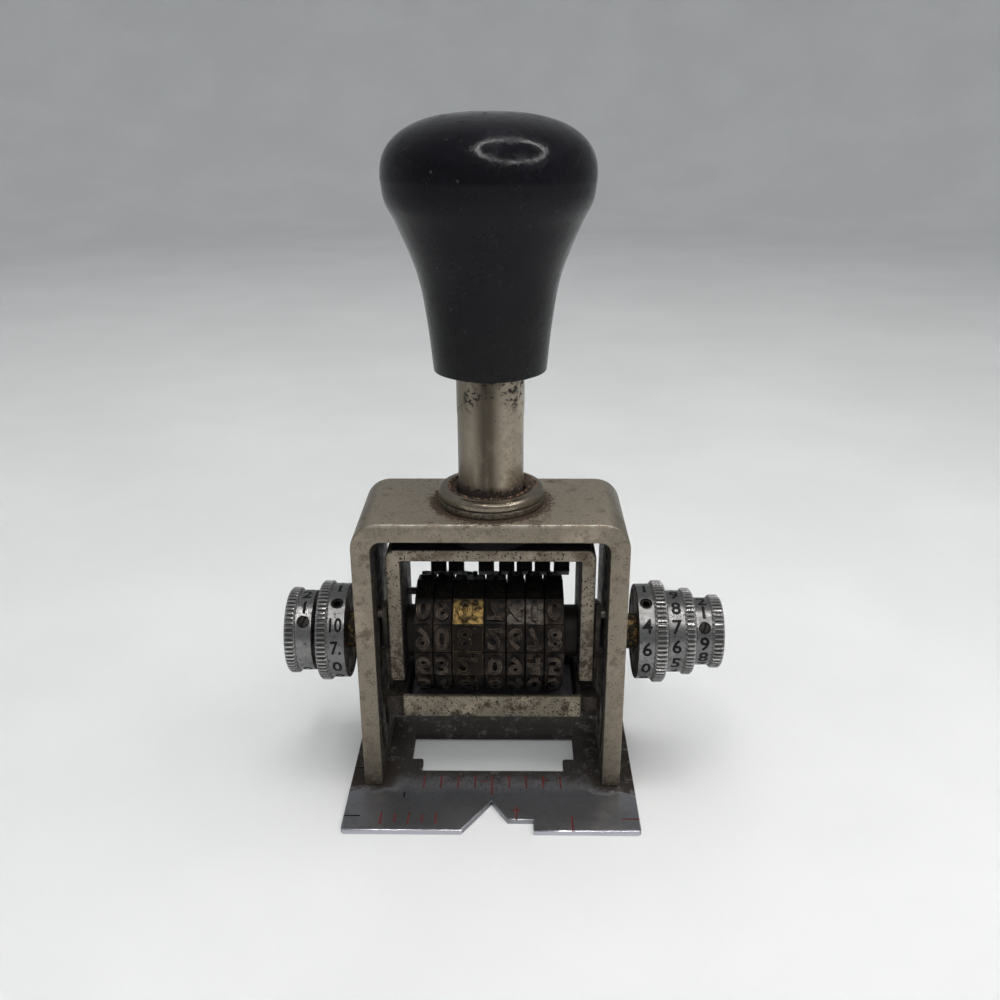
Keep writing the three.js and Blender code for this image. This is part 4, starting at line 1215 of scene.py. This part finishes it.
def crumb(k, inner, outer, low, high):
    """One grain of the dried crust in the collar's dish."""
    out = (k * 0.618) % 1
    size = 0.18 + 0.32 * ((k * 0.377) % 1) ** 2
    radius = inner + (outer - inner) * out
    height = low + (high - low) * out**1.5 - 0.2 * size
    bm = bmesh.new()
    bmesh.ops.create_icosphere(bm, subdivisions=1, radius=size)
    squashed = Matrix.Diagonal((1, 0.8, 0.6 + 0.5 * ((k * 0.271) % 1), 1))
    turn = Matrix.Rotation(k * GOLDEN_TURN, 4, "Z")
    return painted(moved(bm, turn @ Matrix.Translation((radius, 0, height)) @ squashed), 1)


def build_collar():
    collar = Span("guide_collar")
    tube = Span("plunger_tube")
    bore = tube.size.x / 2 + RUNNING_GAP
    spigot = bore + COLLAR_WALL
    radius, top = collar.size.x / 2, collar.high.z
    base = Span("yoke").high.z + WALL_GAP
    lip = base + 1.2
    corners = [
        (bore, collar.low.z, 0), (spigot, collar.low.z, 0.2), (spigot, base, 0), (radius, base, 0.15),
        (radius, lip, 0.25), (radius - 0.45, lip + 0.12, 0.08), (radius, lip + 0.35, 0.2),
        (radius - 0.02, top - 0.05, 0.9), (radius - 1.9, top, 0.5), (bore + 0.4, top - 0.4, 0.3),
        (bore, top - 0.8, 0.1),
    ]
    body = lathe(corners, 7, 128, loop=True)
    cross = Span("spring_cross_pin")
    side = cross.size.z / 2 + WALL_GAP
    reach = spigot + OVERCUT
    notch = block((-reach, -side, collar.low.z - OVERCUT), (reach, side, Span("yoke").high.z))
    body = carved(body, notch)
    for k in range(CRUMBS):
        joined(body, crumb(k, bore + 0.6, radius - 1.4, top - 0.05, top - 0.02))
    finished(body, "guide_collar", "nickel_plate", "collar", "crust")


def build_plunger_tube():
    tube = Span("plunger_tube")
    cross = Span("spring_cross_pin")
    washer = Span("buffer_washer")
    radius, stud = tube.size.x / 2, STUD_RADIUS
    bore = radius - TUBE_WALL
    seat, floor = washer.low.z, washer.high.z
    corners = [
        (0, tube.low.z, 0), (stud, tube.low.z, 0.4), (stud, seat, 0), (radius, seat, 0.3),
        (radius, tube.high.z, 0.4), (bore, tube.high.z, 0.2), (bore, floor, 0.4), (0, floor, 0),
    ]
    body = lathe(corners, 5, 112)
    side = cross.size.z / 2 + RUNNING_GAP
    foot, head = cross.low.z - RUNNING_GAP, cross.high.z + slide_travel() + RUNNING_GAP
    outline = stadium(side, foot + side, head - side, 10)
    reach = radius + OVERCUT
    finished(carved(body, slab(outline, -reach, reach, "x")), "plunger_tube", "nickel_plate", "plunger")


def build_return_spring():
    spring = Span("return_spring")
    wire, turns, per_turn = 0.5, 10, 24
    coil = spring.size.x / 2 - wire
    low, high = spring.low.z + wire, spring.high.z - wire
    bm = bmesh.new()
    place = Matrix.Translation((coil, 0, low)) @ Matrix.Rotation(math.pi / 2, 4, "X")
    bmesh.ops.create_circle(bm, segments=10, radius=wire, matrix=place)
    rise = (high - low) / (turns * per_turn)
    bmesh.ops.spin(
        bm, geom=bm.verts[:] + bm.edges[:], cent=(0, 0, 0), axis=(0, 0, 1), dvec=(0, 0, rise),
        angle=FULL_TURN * turns, steps=turns * per_turn,
    )
    bmesh.ops.holes_fill(bm, edges=[edge for edge in bm.edges if edge.is_boundary], sides=0)
    bmesh.ops.recalc_face_normals(bm, faces=bm.faces[:])
    made = finished(bm, "return_spring", "spring_steel", "spring")
    low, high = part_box("return_spring")
    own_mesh(made)


def build_plunger_fittings():
    finished(softened(node_copy("plunger_nut"), mm(edges().fine)), "plunger_nut", "screw_steel", "screw")
    bore = Span("plunger_tube").size.x / 2 + RUNNING_GAP
    washer = pin("buffer_washer", (0.5, 0.5), bore, 0.2, arc=5, steps=96, upright=True)
    finished(washer, "buffer_washer", "buffer_rubber", "rubber")
    plug = Span("spring_plug")
    slot = screw_slot(plug.size.x / 2, 0.9, 0.9, plug.high.z)
    body = carved(pin("spring_plug", (0.3, 0.3), steps=64, upright=True), slot)
    finished(body, "spring_plug", "screw_steel", "screw")


class STAMP_OT_plunger(bpy.types.Operator):
    """Builds the guide collar, the plunger and the return spring with its pin and plug"""

    bl_idname = "stamp.plunger"
    bl_label = "Collar and Plunger"

    def execute(self, context):
        build_collar()
        finished(pin("spring_cross_pin", (0.3, 0.3)), "spring_cross_pin", "screw_steel", "screw")
        build_plunger_tube()
        build_return_spring()
        build_plunger_fittings()
        return {"FINISHED"}


# ---- knob


KNOB_FOOT = 10.2  # radius at the bottom of the knob
CROWN_STEPS = 30
CROWN_POWER = 2.5  # 2 would be an ellipse, and more is squarer
CROWN_SHARE = 10.6 / 44.6  # of the knob's height


def build_knob():
    knob = Span("handle_knob")
    radius, foot, height = knob.size.x / 2, knob.low.z, knob.size.z
    crown = CROWN_SHARE * height
    belt = height - crown
    flare = [
        Vector((10.4, 0.5)), Vector((0.604 * radius, 0.267 * belt)), Vector((0.685 * radius, 0.52 * belt)),
        Vector((0.857 * radius, 0.765 * belt)), Vector((0.965 * radius, 0.885 * belt)),
        Vector((radius, belt)),
    ]
    socket = Span("plunger_tube").size.x / 2 + WALL_GAP
    socket_top = Span("plunger_tube").high.z + WALL_GAP
    hollow = [(0, socket_top, 0), (socket, socket_top, 0), (socket, foot, 0.3), (KNOB_FOOT, foot, 0.6)]
    profile = rounded_outline(hollow, 5)[:-1]
    profile += [Vector((p.x, foot + p.y)) for p in smooth_curve(flare, 8)]
    for i in range(1, CROWN_STEPS + 1):
        rise = math.sin(math.pi / 2 * i / CROWN_STEPS)
        spread = max(0.0, 1 - rise**CROWN_POWER) ** (1 / CROWN_POWER)
        profile.append(Vector((radius * spread if i < CROWN_STEPS else 0, foot + belt + rise * crown)))
    finished(turned(profile, 144), "handle_knob", "bakelite", "knob", sharp=50)


class STAMP_OT_knob(bpy.types.Operator):
    """Builds the mushroom knob"""

    bl_idname = "stamp.knob"
    bl_label = "Knob"

    def execute(self, context):
        build_knob()
        return {"FINISHED"}


# ---- carriage


CARRIAGE_SIDE = 2.75  # thickness of its sides
CARRIAGE_TOP = 2.5  # thickness of its top
CARRIAGE_BENDS = (2.0, 0.3)
BUSH_FLANGE = 5.3  # radius of the bush's flange against the inside of the carriage


def build_carriage():
    carriage = Span("carriage_frame")
    bush = Span("bearing_bush_left")
    peg = Span("retaining_peg")
    outer, top, foot = carriage.high.x, carriage.high.z, carriage.low.z
    inner, ceiling = outer - CARRIAGE_SIDE, top - CARRIAGE_TOP
    body = slab(arch_outline(outer, inner, foot, top, ceiling, *CARRIAGE_BENDS), carriage.low.y,
                carriage.high.y, "y")
    softened(body, mm(edges().strap), 3, 50)
    reach = outer + OVERCUT
    bar = Span("detent_bar")
    peg_hole = rod(peg.size.z / 2 + WALL_GAP, -reach, -inner + OVERCUT, 24)
    tools = [
        on_axle(rod(bush.size.z / 2 + WALL_GAP, -reach, reach, 64)),
        rod(STUD_RADIUS + WALL_GAP, ceiling - OVERCUT, top + OVERCUT, 48),
        shifted(on_axle(peg_hole, peg.middle.z), y=peg.middle.y),
    ]
    for side in ("left", "right"):
        screw = Span(f"detent_screw_{side}")
        hole = rod(DETENT_SHANK + WALL_GAP, ceiling - OVERCUT, top + OVERCUT, 24)
        tools.append(shifted(hole, screw.middle.x, bar.middle.y))
    body = carved(body, *[painted(tool, 1) for tool in tools])
    darken_inner(body, inner, ceiling)
    finished(body, "carriage_frame", "nickel_plate", "carriage", "shade_and_soot", "shade_and_soot")
    finished(pin("retaining_peg", (0.15, 0.3), steps=24), "retaining_peg", "screw_steel", "screw")


def build_bushes():
    outer_tube = Span("wheel_tube_left").size.z / 2
    seat = Span("carriage_frame").high.x - CARRIAGE_SIDE - WALL_GAP
    for side in ("left", "right"):
        bush = Span(f"bearing_bush_{side}")
        bore, radius = outer_tube + RUNNING_GAP, bush.size.z / 2
        near, far = sorted((abs(bush.low.x), abs(bush.high.x)))
        corners = [
            (bore, near, 0.1), (BUSH_FLANGE, near, 0.2), (BUSH_FLANGE, seat, 0.2), (radius, seat, 0),
            (radius, far, 0.2), (bore, far, 0.1),
        ]
        body = on_axle(lathe(corners, 4, 64, loop=True))
        finished(mirrored(body) if side == "left" else body, f"bearing_bush_{side}", "brass", "brass")


class STAMP_OT_carriage(bpy.types.Operator):
    """Builds the carriage, its peg and the axle bushes"""

    bl_idname = "stamp.carriage"
    bl_label = "Carriage"

    def execute(self, context):
        build_carriage()
        build_bushes()
        return {"FINISHED"}


# ---- detents


DETENT_HEAD = 1.6  # radii of a detent screw's head and shank
DETENT_SHANK = 0.8
LEAF_TAIL = 1.2  # how far a leaf spring's tail sweeps down and back, past its frame node
LEAF_SIDE = 0.15  # how far it stands out of the node on either side


def build_detents():
    bar = Span("detent_bar")
    body = softened(block(bar.low, bar.high), 0.25, 3)
    holes = []
    for side in ("left", "right"):
        screw = Span(f"detent_screw_{side}")
        hole = rod(DETENT_SHANK + WALL_GAP, bar.low.z - OVERCUT, bar.high.z + OVERCUT, 24)
        holes.append(shifted(hole, screw.middle.x, screw.middle.y))
    finished(carved(body, *holes), "detent_bar", "dark_steel", "dark_steel")
    for side, turn in (("left", 0.5), ("right", 1.9)):
        node = f"detent_screw_{side}"
        screw = Span(node)
        head, shank, seat = DETENT_HEAD, DETENT_SHANK, Span("carriage_frame").high.z + WALL_GAP
        corners = [
            (0, screw.low.z, 0), (shank, screw.low.z, 0.2), (shank, seat, 0),
            (head, seat, 0.05), (head, screw.high.z, 0.25), (0, screw.high.z, 0),
        ]
        slot = screw_slot(head, 0.45, 0.4, screw.high.z)
        body = carved(lathe(corners, 4, 40), slot)
        moved(body, Matrix.Translation((screw.middle.x, screw.middle.y, 0)) @ Matrix.Rotation(turn, 4, "Z"))
        finished(body, node, "screw_steel", "screw")
    for k in range(1, 8):
        node = f"detent_spring_{k}"
        leaf = Span(node)
        near, thickness, nose = leaf.low.y + 0.6, 0.5, 0.7
        tip = leaf.low.z
        corners = [
            (near, leaf.high.z, 0), (near, tip + 2 * nose, 0.25), (leaf.low.y, tip + nose, 0.3),
            (near + LEAF_TAIL, tip - LEAF_TAIL, 0.05), (near + LEAF_TAIL + thickness, tip - LEAF_TAIL, 0.05),
            (near + thickness, tip + nose, 0.3), (near + thickness, leaf.high.z, 0),
        ]
        body = slab(rounded_outline(corners, 5), leaf.low.x - LEAF_SIDE, leaf.high.x + LEAF_SIDE, "x")
        finished(softened(body, 0.06, 2, 60), node, "spring_steel", "dark_steel")


class STAMP_OT_detents(bpy.types.Operator):
    """Builds the detent bar, its screws and the seven leaf springs"""

    bl_idname = "stamp.detents"
    bl_label = "Detents"

    def execute(self, context):
        build_detents()
        return {"FINISHED"}


# ---- type wheels


TYPE_STEP = FULL_TURN / TYPE_POSITIONS
TYPE_FACE = 11.9  # from the axle to the face of the type
# What each wheel carries from the bottom flat up over the front, one entry to a flat.
TYPE_ROWS = (
    ("1", "7", "5", "6", "9", "0", "4", "3", "2", "8", ".", "0", "9"),
    ("2", "8", "1", "3", "0", "9", "5", "4", "6", "7", ".", "1", "0"),
    ("0.", "4.", "6.", "2.", "8.", "0.", "5.", "1.", "3.", "7.", "9.", "2.", "6."),
    ("5", "6", "8", "0", "2", "7", "9", "1", "4", "3", ".", "5", "8"),
    ("3", "1", "4", "9", "6", "4", "0", "8", "2", "7", ".", "3", "1"),
    ("8", "2", "0", "4", "7", "1", "3", "5", "9", "6", ".", "8", "2"),
    ("6", "9", "3", "5", "8", "0", "2", "7", "1", "4", ".", "6", "9"),
)
WHEEL_BORES = (3.72, 1.62, 1.7, 1.7, 1.62, 2.62, 3.72)
HUB_RADIUS = 10.5  # the low step on a wheel's right side that spaces it from the next wheel
HUB_RISE = 0.17
WIPED_WHEELS = (5, 6)


def type_wheel(node, bore, labels, hub):
    span = Span(node)
    relief, height = mm(marks().type_relief), mm(marks().type_height)
    flat = TYPE_FACE - relief
    root = flat / math.cos(TYPE_STEP / 2)
    low, high, bevel = span.low.x, span.high.x, 0.1
    profile = [
        (bore, low), (root - bevel, low), (root, low + bevel), (root, high - bevel), (root - bevel, high),
    ]
    if hub:
        profile += [(HUB_RADIUS, high), (HUB_RADIUS, high + HUB_RISE), (bore, high + HUB_RISE)]
    else:
        profile.append((bore, high))
    body = turned(profile, TYPE_POSITIONS, loop=True)
    body = on_axle(moved(body, Matrix.Rotation(TYPE_STEP / 2, 4, "Z")))
    seams = bmesh.new()
    for k in range(TYPE_POSITIONS):
        seam = block((low - OVERCUT, -root - OVERCUT, -0.1), (high + OVERCUT, -root + 0.45, 0.1))
        joined(seams, moved(seam, round_axle(-math.pi / 2 + (k + 0.5) * TYPE_STEP)))
    body = carved(body, seams)
    width = span.size.x - 0.35
    for k, label in enumerate(labels):
        raised = figure(label, height, relief + 0.3, 0.024)
        reach = max(vert.co.x for vert in raised.verts)
        squeeze = min(1.0, width / 2 / reach)
        up = Matrix(((squeeze, 0, 0, 0), (0, 0, -1, 0), (0, -1, 0, 0), (0, 0, 0, 1)))
        out = Matrix.Translation((span.middle.x, 0, 0)) @ round_axle(-math.pi / 2 + k * TYPE_STEP)
        depth = Matrix.Translation((0, -(flat + (relief - 0.3) / 2), 0))
        joined(body, moved(raised, out @ depth @ up))
    return body


class STAMP_OT_type_wheels(bpy.types.Operator):
    """Builds the seven type wheels with their raised, mirrored figures"""

    bl_idname = "stamp.type_wheels"
    bl_label = "Type Wheels"

    def execute(self, context):
        for k, (labels, bore) in enumerate(zip(TYPE_ROWS, WHEEL_BORES), start=1):
            body = type_wheel(f"type_wheel_{k}", bore, labels, k < len(TYPE_ROWS))
            slot, finish = ("brass", "brass_type") if k == 3 else ("type_metal", "type")
            if k in WIPED_WHEELS:
                finish = "wiped_type"
            finished(body, f"type_wheel_{k}", slot, finish, sharp=25)
        return {"FINISHED"}


# ---- dials, set screws and shafts


# Each dial's side, screw angle, screw head, shaft radius and numbers from the top down over the front.
DIALS = {
    "left_inner": (-1, 62, "hex", 3.6, ("1", "", "10", "7.", "0", "9", "8", "6", "5", "4", "3", "2", ".")),
    "left_outer": (-1, 40, "slot", 1.5, ("2", "1", "", "", "", "0", "9", "8", "7", "6", "5", "4", "3")),
    "right_inner": (1, 63, "hex", 3.6, ("1", "", "4", "6", "0", "9", "8", "7", "5", "3", "2", ".", "")),
    "right_middle": (1, 200, "hex", 2.5, ("9", "8", "7", "6", "5", "4", "3", "2", "1", "", "", "0", ".")),
    "right_outer": (1, 34, "slot", 1.5, ("2", "1", "", "9", "8", "7", "6", "5", "4", "3", "0", ".", "")),
}
BANDS = {  # width of the numbered band and its radius
    "left_inner": (3.5, 9.55),
    "left_outer": (3.3, 8.1),
    "right_inner": (3.3, 9.6),
    "right_middle": (3.4, 8.25),
    "right_outer": (3.3, 6.8),
}
SET_SCREW_RADIUS = 1.1
SET_SCREW_SINK = 0.25


def knurled(body, radius, teeth, depth):
    """Presses straight grooves into the rim of a turned body that has four steps to a tooth."""
    for vert in body.verts:
        reach = math.hypot(vert.co.x, vert.co.y)
        step = round(math.atan2(vert.co.y, vert.co.x) / FULL_TURN * 4 * teeth)
        if reach > radius - depth and step % 4 in (2, 3):
            scale = (radius - depth) / reach
            vert.co.x *= scale
            vert.co.y *= scale


def dial(node, side, band, band_radius, shaft):
    """The dial about the z axis, with its band at the start and its rim outwards."""
    span = Span(node)
    radius, wide = span.size.z / 2, span.size.x
    teeth = round(FULL_TURN * radius / mm(marks().knurl_pitch))
    depth = mm(marks().knurl_depth)
    bore = shaft + WALL_GAP
    dish = min(1.4, band_radius - bore - 1.4)
    corners = [
        (bore, 0.25, 0.1), (band_radius - 0.9, 0.25, 0.3), (band_radius - 0.7, 0, 0.1), (band_radius, 0, 0.2),
        (band_radius, band, 0.05), (radius - 0.35, band, 0.05), (radius, band + 0.3, 0.1),
        (radius, wide - 0.4, 0.1), (radius - 0.4, wide, 0.15),
        (bore + dish, wide, 0.2), (bore + dish - 0.4, wide - 0.35, 0.2),
        (bore, wide - 0.35, 0.1),
    ]
    body = lathe(corners, 3, 4 * teeth, loop=True)
    knurled(body, radius, teeth, depth)
    body = on_axle(body)
    shifted(body, x=span.low.x if side > 0 else -span.high.x)
    return body if side > 0 else mirrored(body)


def set_screw_solid(head, foot, gap=0.0):
    radius = SET_SCREW_RADIUS + gap
    corners = pin_corners(radius, foot, head, 0.2, 0 if gap else 0.12)
    return lathe(corners, 3, 28)


def build_dial(label):
    side, angle, drive, shaft, numbers = DIALS[label]
    band, band_radius = BANDS[label]
    node = f"dial_{label}"
    span = Span(node)
    middle = span.low.x + band / 2 if side > 0 else span.high.x - band / 2
    place = Matrix.Translation((middle, 0, AXLE_Z)) @ Matrix.Rotation(math.radians(90 - angle), 4, "X")
    hole = moved(set_screw_solid(band_radius + OVERCUT, shaft + 0.02, WALL_GAP), place)
    body = carved(dial(node, side, band, band_radius, shaft), painted(hole, 2))
    start = span.low.x if side > 0 else -span.high.x
    for face in body.faces:
        centre = face.calc_center_median()
        # Painted shade: the face that looks at the yoke across the narrow gap takes the dark material of
        # shade and ink.
        if side * centre.x < start + 0.3 and side * face.normal.x < -0.3:
            face.material_index = 2
        elif side * centre.x > start + band + 0.1 and math.hypot(centre.y, centre.z - AXLE_Z) > band_radius:
            face.material_index = 3
    rise, height = mm(marks().number_rise), mm(marks().number_height)
    for k, number in enumerate(numbers):
        if not number:
            continue
        fit = 0.78 if len(number) > 1 else 1.0
        raised = moved(figure(number, height, 0.2, 0.022), Matrix.Diagonal((fit, 1, 1, 1)))
        shifted(raised, z=rise - 0.1)
        raised = painted(wrapped(raised, band_radius), 1)
        out = Matrix.Translation((middle, 0, 0)) @ round_axle(math.pi / 2 - k * TYPE_STEP)
        joined(body, moved(raised, out))
    finished(body, node, "dial_metal", "dial", "ink_fill", "shade_and_soot", "knurl", sharp=28)
    head = band_radius - SET_SCREW_SINK
    screw = set_screw_solid(head, shaft + WALL_GAP)
    if drive == "slot":
        tool = moved(screw_slot(1.3, 0.42, 0.5, head), Matrix.Rotation(math.radians(70), 4, "Z"))
    else:
        tool = rod(0.88, head - 1.5, head + OVERCUT, 6)
    finished(moved(carved(screw, tool), place), f"set_screw_{label}", "screw_steel", "black_screw")


def build_shafts():
    shafts = {
        "wheel_tube_left": (1.7, "brass", "brass"),
        "wheel_rod_left": (0, "screw_steel", "screw"),
        "wheel_rod_right": (0, "screw_steel", "screw"),
        "wheel_tube_right_inner": (1.7, "screw_steel", "spring"),
        "wheel_tube_right_outer": (2.7, "brass", "brass"),
    }
    for node, (bore, slot, finish) in shafts.items():
        ends = (0.25, 0.25) if bore else (0.4, 0.4)
        finished(pin(node, ends, bore, arc=3, steps=48), node, slot, finish)


class STAMP_OT_dials(bpy.types.Operator):
    """Builds the knurled dials with their numbers, their set screws and the coaxial shafts"""

    bl_idname = "stamp.dials"
    bl_label = "Dials and Shafts"

    def execute(self, context):
        for label in DIALS:
            build_dial(label)
        build_shafts()
        return {"FINISHED"}


# ---- ink tray, pad and arms


RIVET_RADIUS = 1.0
SHOE_DROP = 0.7  # how far an arm's broad foot reaches below the tray


def build_ink_tray():
    tray = Span("ink_tray")
    half, depth, wall = tray.size.x / 2, tray.size.y / 2, 1.0
    body = slab(rectangle(half, depth, 0.7), tray.low.z, tray.high.z)
    cavity = slab(rectangle(half - wall, depth - wall, 1.2), tray.low.z + wall, tray.high.z + OVERCUT)
    carriage = Span("carriage_frame")
    sweep = math.hypot(carriage.high.y, AXLE_Z - carriage.low.z) + 0.4
    scoops = [on_axle(rod(sweep, half - wall - 0.35, half + OVERCUT, 128)) for _ in range(2)]
    body = carved(body, cavity, scoops[0], mirrored(scoops[1]))
    softened(body, 0.2, 3, 40)
    rivet = Span("tray_rivet_right")
    hole = on_axle(rod(RIVET_RADIUS + WALL_GAP, -half - OVERCUT, half + OVERCUT, 32), rivet.middle.z)
    finished(carved(body, hole), "ink_tray", "dark_steel", "tray")


def build_linkage():
    for side in ("left", "right"):
        for name, slot, finish in (
            # The pad arms take the dark material of painted shade and ink.
            ("pad_arm", "nickel_plate", "shade_and_soot"), ("cam_pin", "screw_steel", "screw"),
            ("tray_rivet", "brass", "brass"),
        ):
            node = f"{name}_{side}"
            body = node_copy(node)
            if name == "pad_arm":
                for vert in body.verts:
                    if vert.co.z < Span("ink_tray").low.z + 0.01:
                        vert.co.z -= SHOE_DROP
            finished(softened(body, 0.08, 2, 50), node, slot, finish)


NAP = 0.05  # height of the felt's waves
EDGE_DROP = 0.28  # how far its top falls at its edges


def build_ink_pad():
    """The felt: a soft block, crowned and pulled in at its edges, with a nap of its own."""
    pad = Span("ink_pad")
    bm = bmesh.new()
    bmesh.ops.create_cube(bm, size=2)
    for axis, cuts in (("x", 95), ("y", 41), ("z", 7)):
        lengths = {edge: abs(getattr(edge.verts[0].co - edge.verts[1].co, axis)) for edge in bm.edges}
        uncut = [edge for edge, reach in lengths.items() if reach > 1]
        bmesh.ops.subdivide_edges(bm, edges=uncut, cuts=cuts, use_grid_fill=True)
    half = pad.size / 2
    for vert in bm.verts:
        u, v, w = vert.co
        x, y, lift = u * half.x, v * half.y, w * half.z
        edge_pull = max(abs(u) ** 24, abs(v) ** 12)
        nap = NAP * math.sin(3.1 * x + 5.3 * y) * math.sin(4.7 * y - 2.3 * x)
        waist = 1 - 0.02 * abs(w) ** 3
        if w > 0.99:
            lift -= 0.05 + EDGE_DROP * edge_pull + 0.5 * abs(nap)
        vert.co = pad.middle + Vector((x * waist, y * waist, lift))
    bmesh.ops.recalc_face_normals(bm, faces=bm.faces[:])
    made = finished(bm, "ink_pad", "ink_felt", "felt", sharp=60)


class STAMP_OT_ink_tray(bpy.types.Operator):
    """Builds the ink tray, its arms, follower pins and rivets, and the felt pad"""

    bl_idname = "stamp.ink_tray"
    bl_label = "Ink Tray"

    def execute(self, context):
        build_ink_tray()
        build_linkage()
        build_ink_pad()
        return {"FINISHED"}


# ---- stage


CAMERA_YAW = math.radians(0.952)
CAMERA_PITCH = math.radians(22.014)
CAMERA_ROLL = math.radians(-0.258)
CAMERA_PLACE = (4.669, -179.897, 131.98)  # millimetres from the plunger's axis


def stage_piece(bm, name, material):
    for face in bm.faces:
        face.smooth = True
    made = placed(name, mesh_of(bm, name, [material]))
    return made


def build_floor():
    """A round floor that sweeps up into a backdrop all the way round."""
    flat, sweep, high, steps = 0.9, 0.5, 0.9, 16
    profile = [(0, 0), (flat, 0)]
    for k in range(1, steps + 1):
        angle = math.pi / 2 * k / steps
        profile.append((flat + sweep * math.sin(angle), sweep * (1 - math.cos(angle))))
    profile.append((flat + sweep, high))
    bm = turned(profile, 96)
    shifted(bm, z=-0.03 * MM)
    bmesh.ops.reverse_faces(bm, faces=bm.faces[:])
    stage_piece(bm, "floor", finish_named("floor"))


LAMP_RING = (0.166, 0.182, 0.004)  # inner and outer radius and thickness, in metres
LAMP_PLACE = (0.110, -0.13, 0.40)
LAMP_AIM = Vector((-0.10, 0.12, -0.30))


def build_ring_lamp():
    """A glowing ring, for the round reflection on the knob."""
    glow = bpy.data.materials.new("lamp_glow")
    glow.use_nodes = True
    shader = glow.node_tree.nodes["Principled BSDF"]
    shader.inputs["Base Color"].default_value = (0, 0, 0, 1)
    shader.inputs["Emission Color"].default_value = (1.0, 0.98, 0.96, 1)
    shader.inputs["Emission Strength"].default_value = 25.0
    inner, outer, height = LAMP_RING
    bm = turned([(inner, 0.0), (outer, 0.0), (outer, height), (inner, height)], 96, loop=True)
    aim = LAMP_AIM.to_track_quat("-Z", "Y").to_matrix().to_4x4()
    moved(bm, Matrix.Translation(LAMP_PLACE) @ aim)
    lamp = stage_piece(bm, "ring_lamp", glow)
    lamp.visible_camera = False


def add_soft_light(name, place, target, size, power, tint=(1, 1, 1)):
    data = bpy.data.lights.new(name, "AREA")
    data.shape = "DISK"
    data.size = size
    data.energy = power
    data.color = tint
    light = placed(name, data)
    light.location = place
    light.visible_glossy = False
    light.rotation_mode = "QUATERNION"
    light.rotation_quaternion = (Vector(target) - Vector(place)).to_track_quat("-Z", "Y")


def build_world():
    world = bpy.data.worlds.new("studio")
    world.use_nodes = True
    background = world.node_tree.nodes["Background"]
    background.inputs["Color"].default_value = (0.80, 0.82, 0.84, 1)
    background.inputs["Strength"].default_value = 0.42
    bpy.context.scene.world = world
    bpy.context.scene.view_settings.view_transform = "Standard"


def build_camera():
    data = bpy.data.cameras.new("camera")
    data.lens = 36
    data.sensor_width = 36
    data.clip_start = 0.01
    camera = placed("camera", data)
    place = (Vector(CAMERA_PLACE) + PLUNGER) * MM
    turn = Matrix.Rotation(CAMERA_YAW, 4, "Z") @ Matrix.Rotation(math.pi / 2 - CAMERA_PITCH, 4, "X")
    camera.matrix_world = Matrix.Translation(place) @ turn @ Matrix.Rotation(CAMERA_ROLL, 4, "Z")
    bpy.context.scene.camera = camera


class STAMP_OT_stage(bpy.types.Operator):
    """Builds the floor, the lights and the camera"""

    bl_idname = "stamp.stage"
    bl_label = "Stage"

    def execute(self, context):
        build_floor()
        build_ring_lamp()
        build_world()
        add_soft_light("overhead", (-0.1, 0.05, 0.75), (0, 0, 0.05), 0.9, 2.5)
        add_soft_light("front_fill", (0.15, -0.8, 0.35), (0, 0, 0.05), 0.5, 0.5)
        build_camera()
        return {"FINISHED"}


# ---- add-on


PIECE_OPERATORS = (
    STAMP_OT_base_plate,
    STAMP_OT_yoke,
    STAMP_OT_plunger,
    STAMP_OT_knob,
    STAMP_OT_carriage,
    STAMP_OT_detents,
    STAMP_OT_type_wheels,
    STAMP_OT_dials,
    STAMP_OT_ink_tray,
    STAMP_OT_stage,
)


class STAMP_PT_panel(bpy.types.Panel):
    """Lists the stamp's sizes, colours and builders"""

    bl_idname = "STAMP_PT_panel"
    bl_label = "Numbering Stamp"
    bl_space_type = "VIEW_3D"
    bl_region_type = "UI"
    bl_category = "Stamp"

    def draw(self, context):
        for group in GROUPS:
            box = self.layout.box()
            settings = getattr(context.scene, group)
            for name in settings.bl_rna.properties.keys():
                if name not in ("rna_type", "name"):
                    box.prop(settings, name)
        for operator in PIECE_OPERATORS:
            self.layout.operator(operator.bl_idname)


GROUPS = {"stamp_edges": StampEdges, "stamp_marks": StampMarks, "stamp_colours": StampColours}
CLASSES = (*GROUPS.values(), *PIECE_OPERATORS, STAMP_PT_panel)


def register():
    for made in CLASSES:
        bpy.utils.register_class(made)
    for name, group in GROUPS.items():
        setattr(bpy.types.Scene, name, PointerProperty(type=group))


def unregister():
    for name in GROUPS:
        delattr(bpy.types.Scene, name)
    for made in reversed(CLASSES):
        bpy.utils.unregister_class(made)


def main():
    register()
    bpy.ops.stamp.base_plate()
    bpy.ops.stamp.yoke()
    bpy.ops.stamp.plunger()
    bpy.ops.stamp.knob()
    bpy.ops.stamp.carriage()
    bpy.ops.stamp.detents()
    bpy.ops.stamp.type_wheels()
    bpy.ops.stamp.dials()
    bpy.ops.stamp.ink_tray()
    bpy.ops.stamp.stage()


if __name__ == "__main__":
    main()
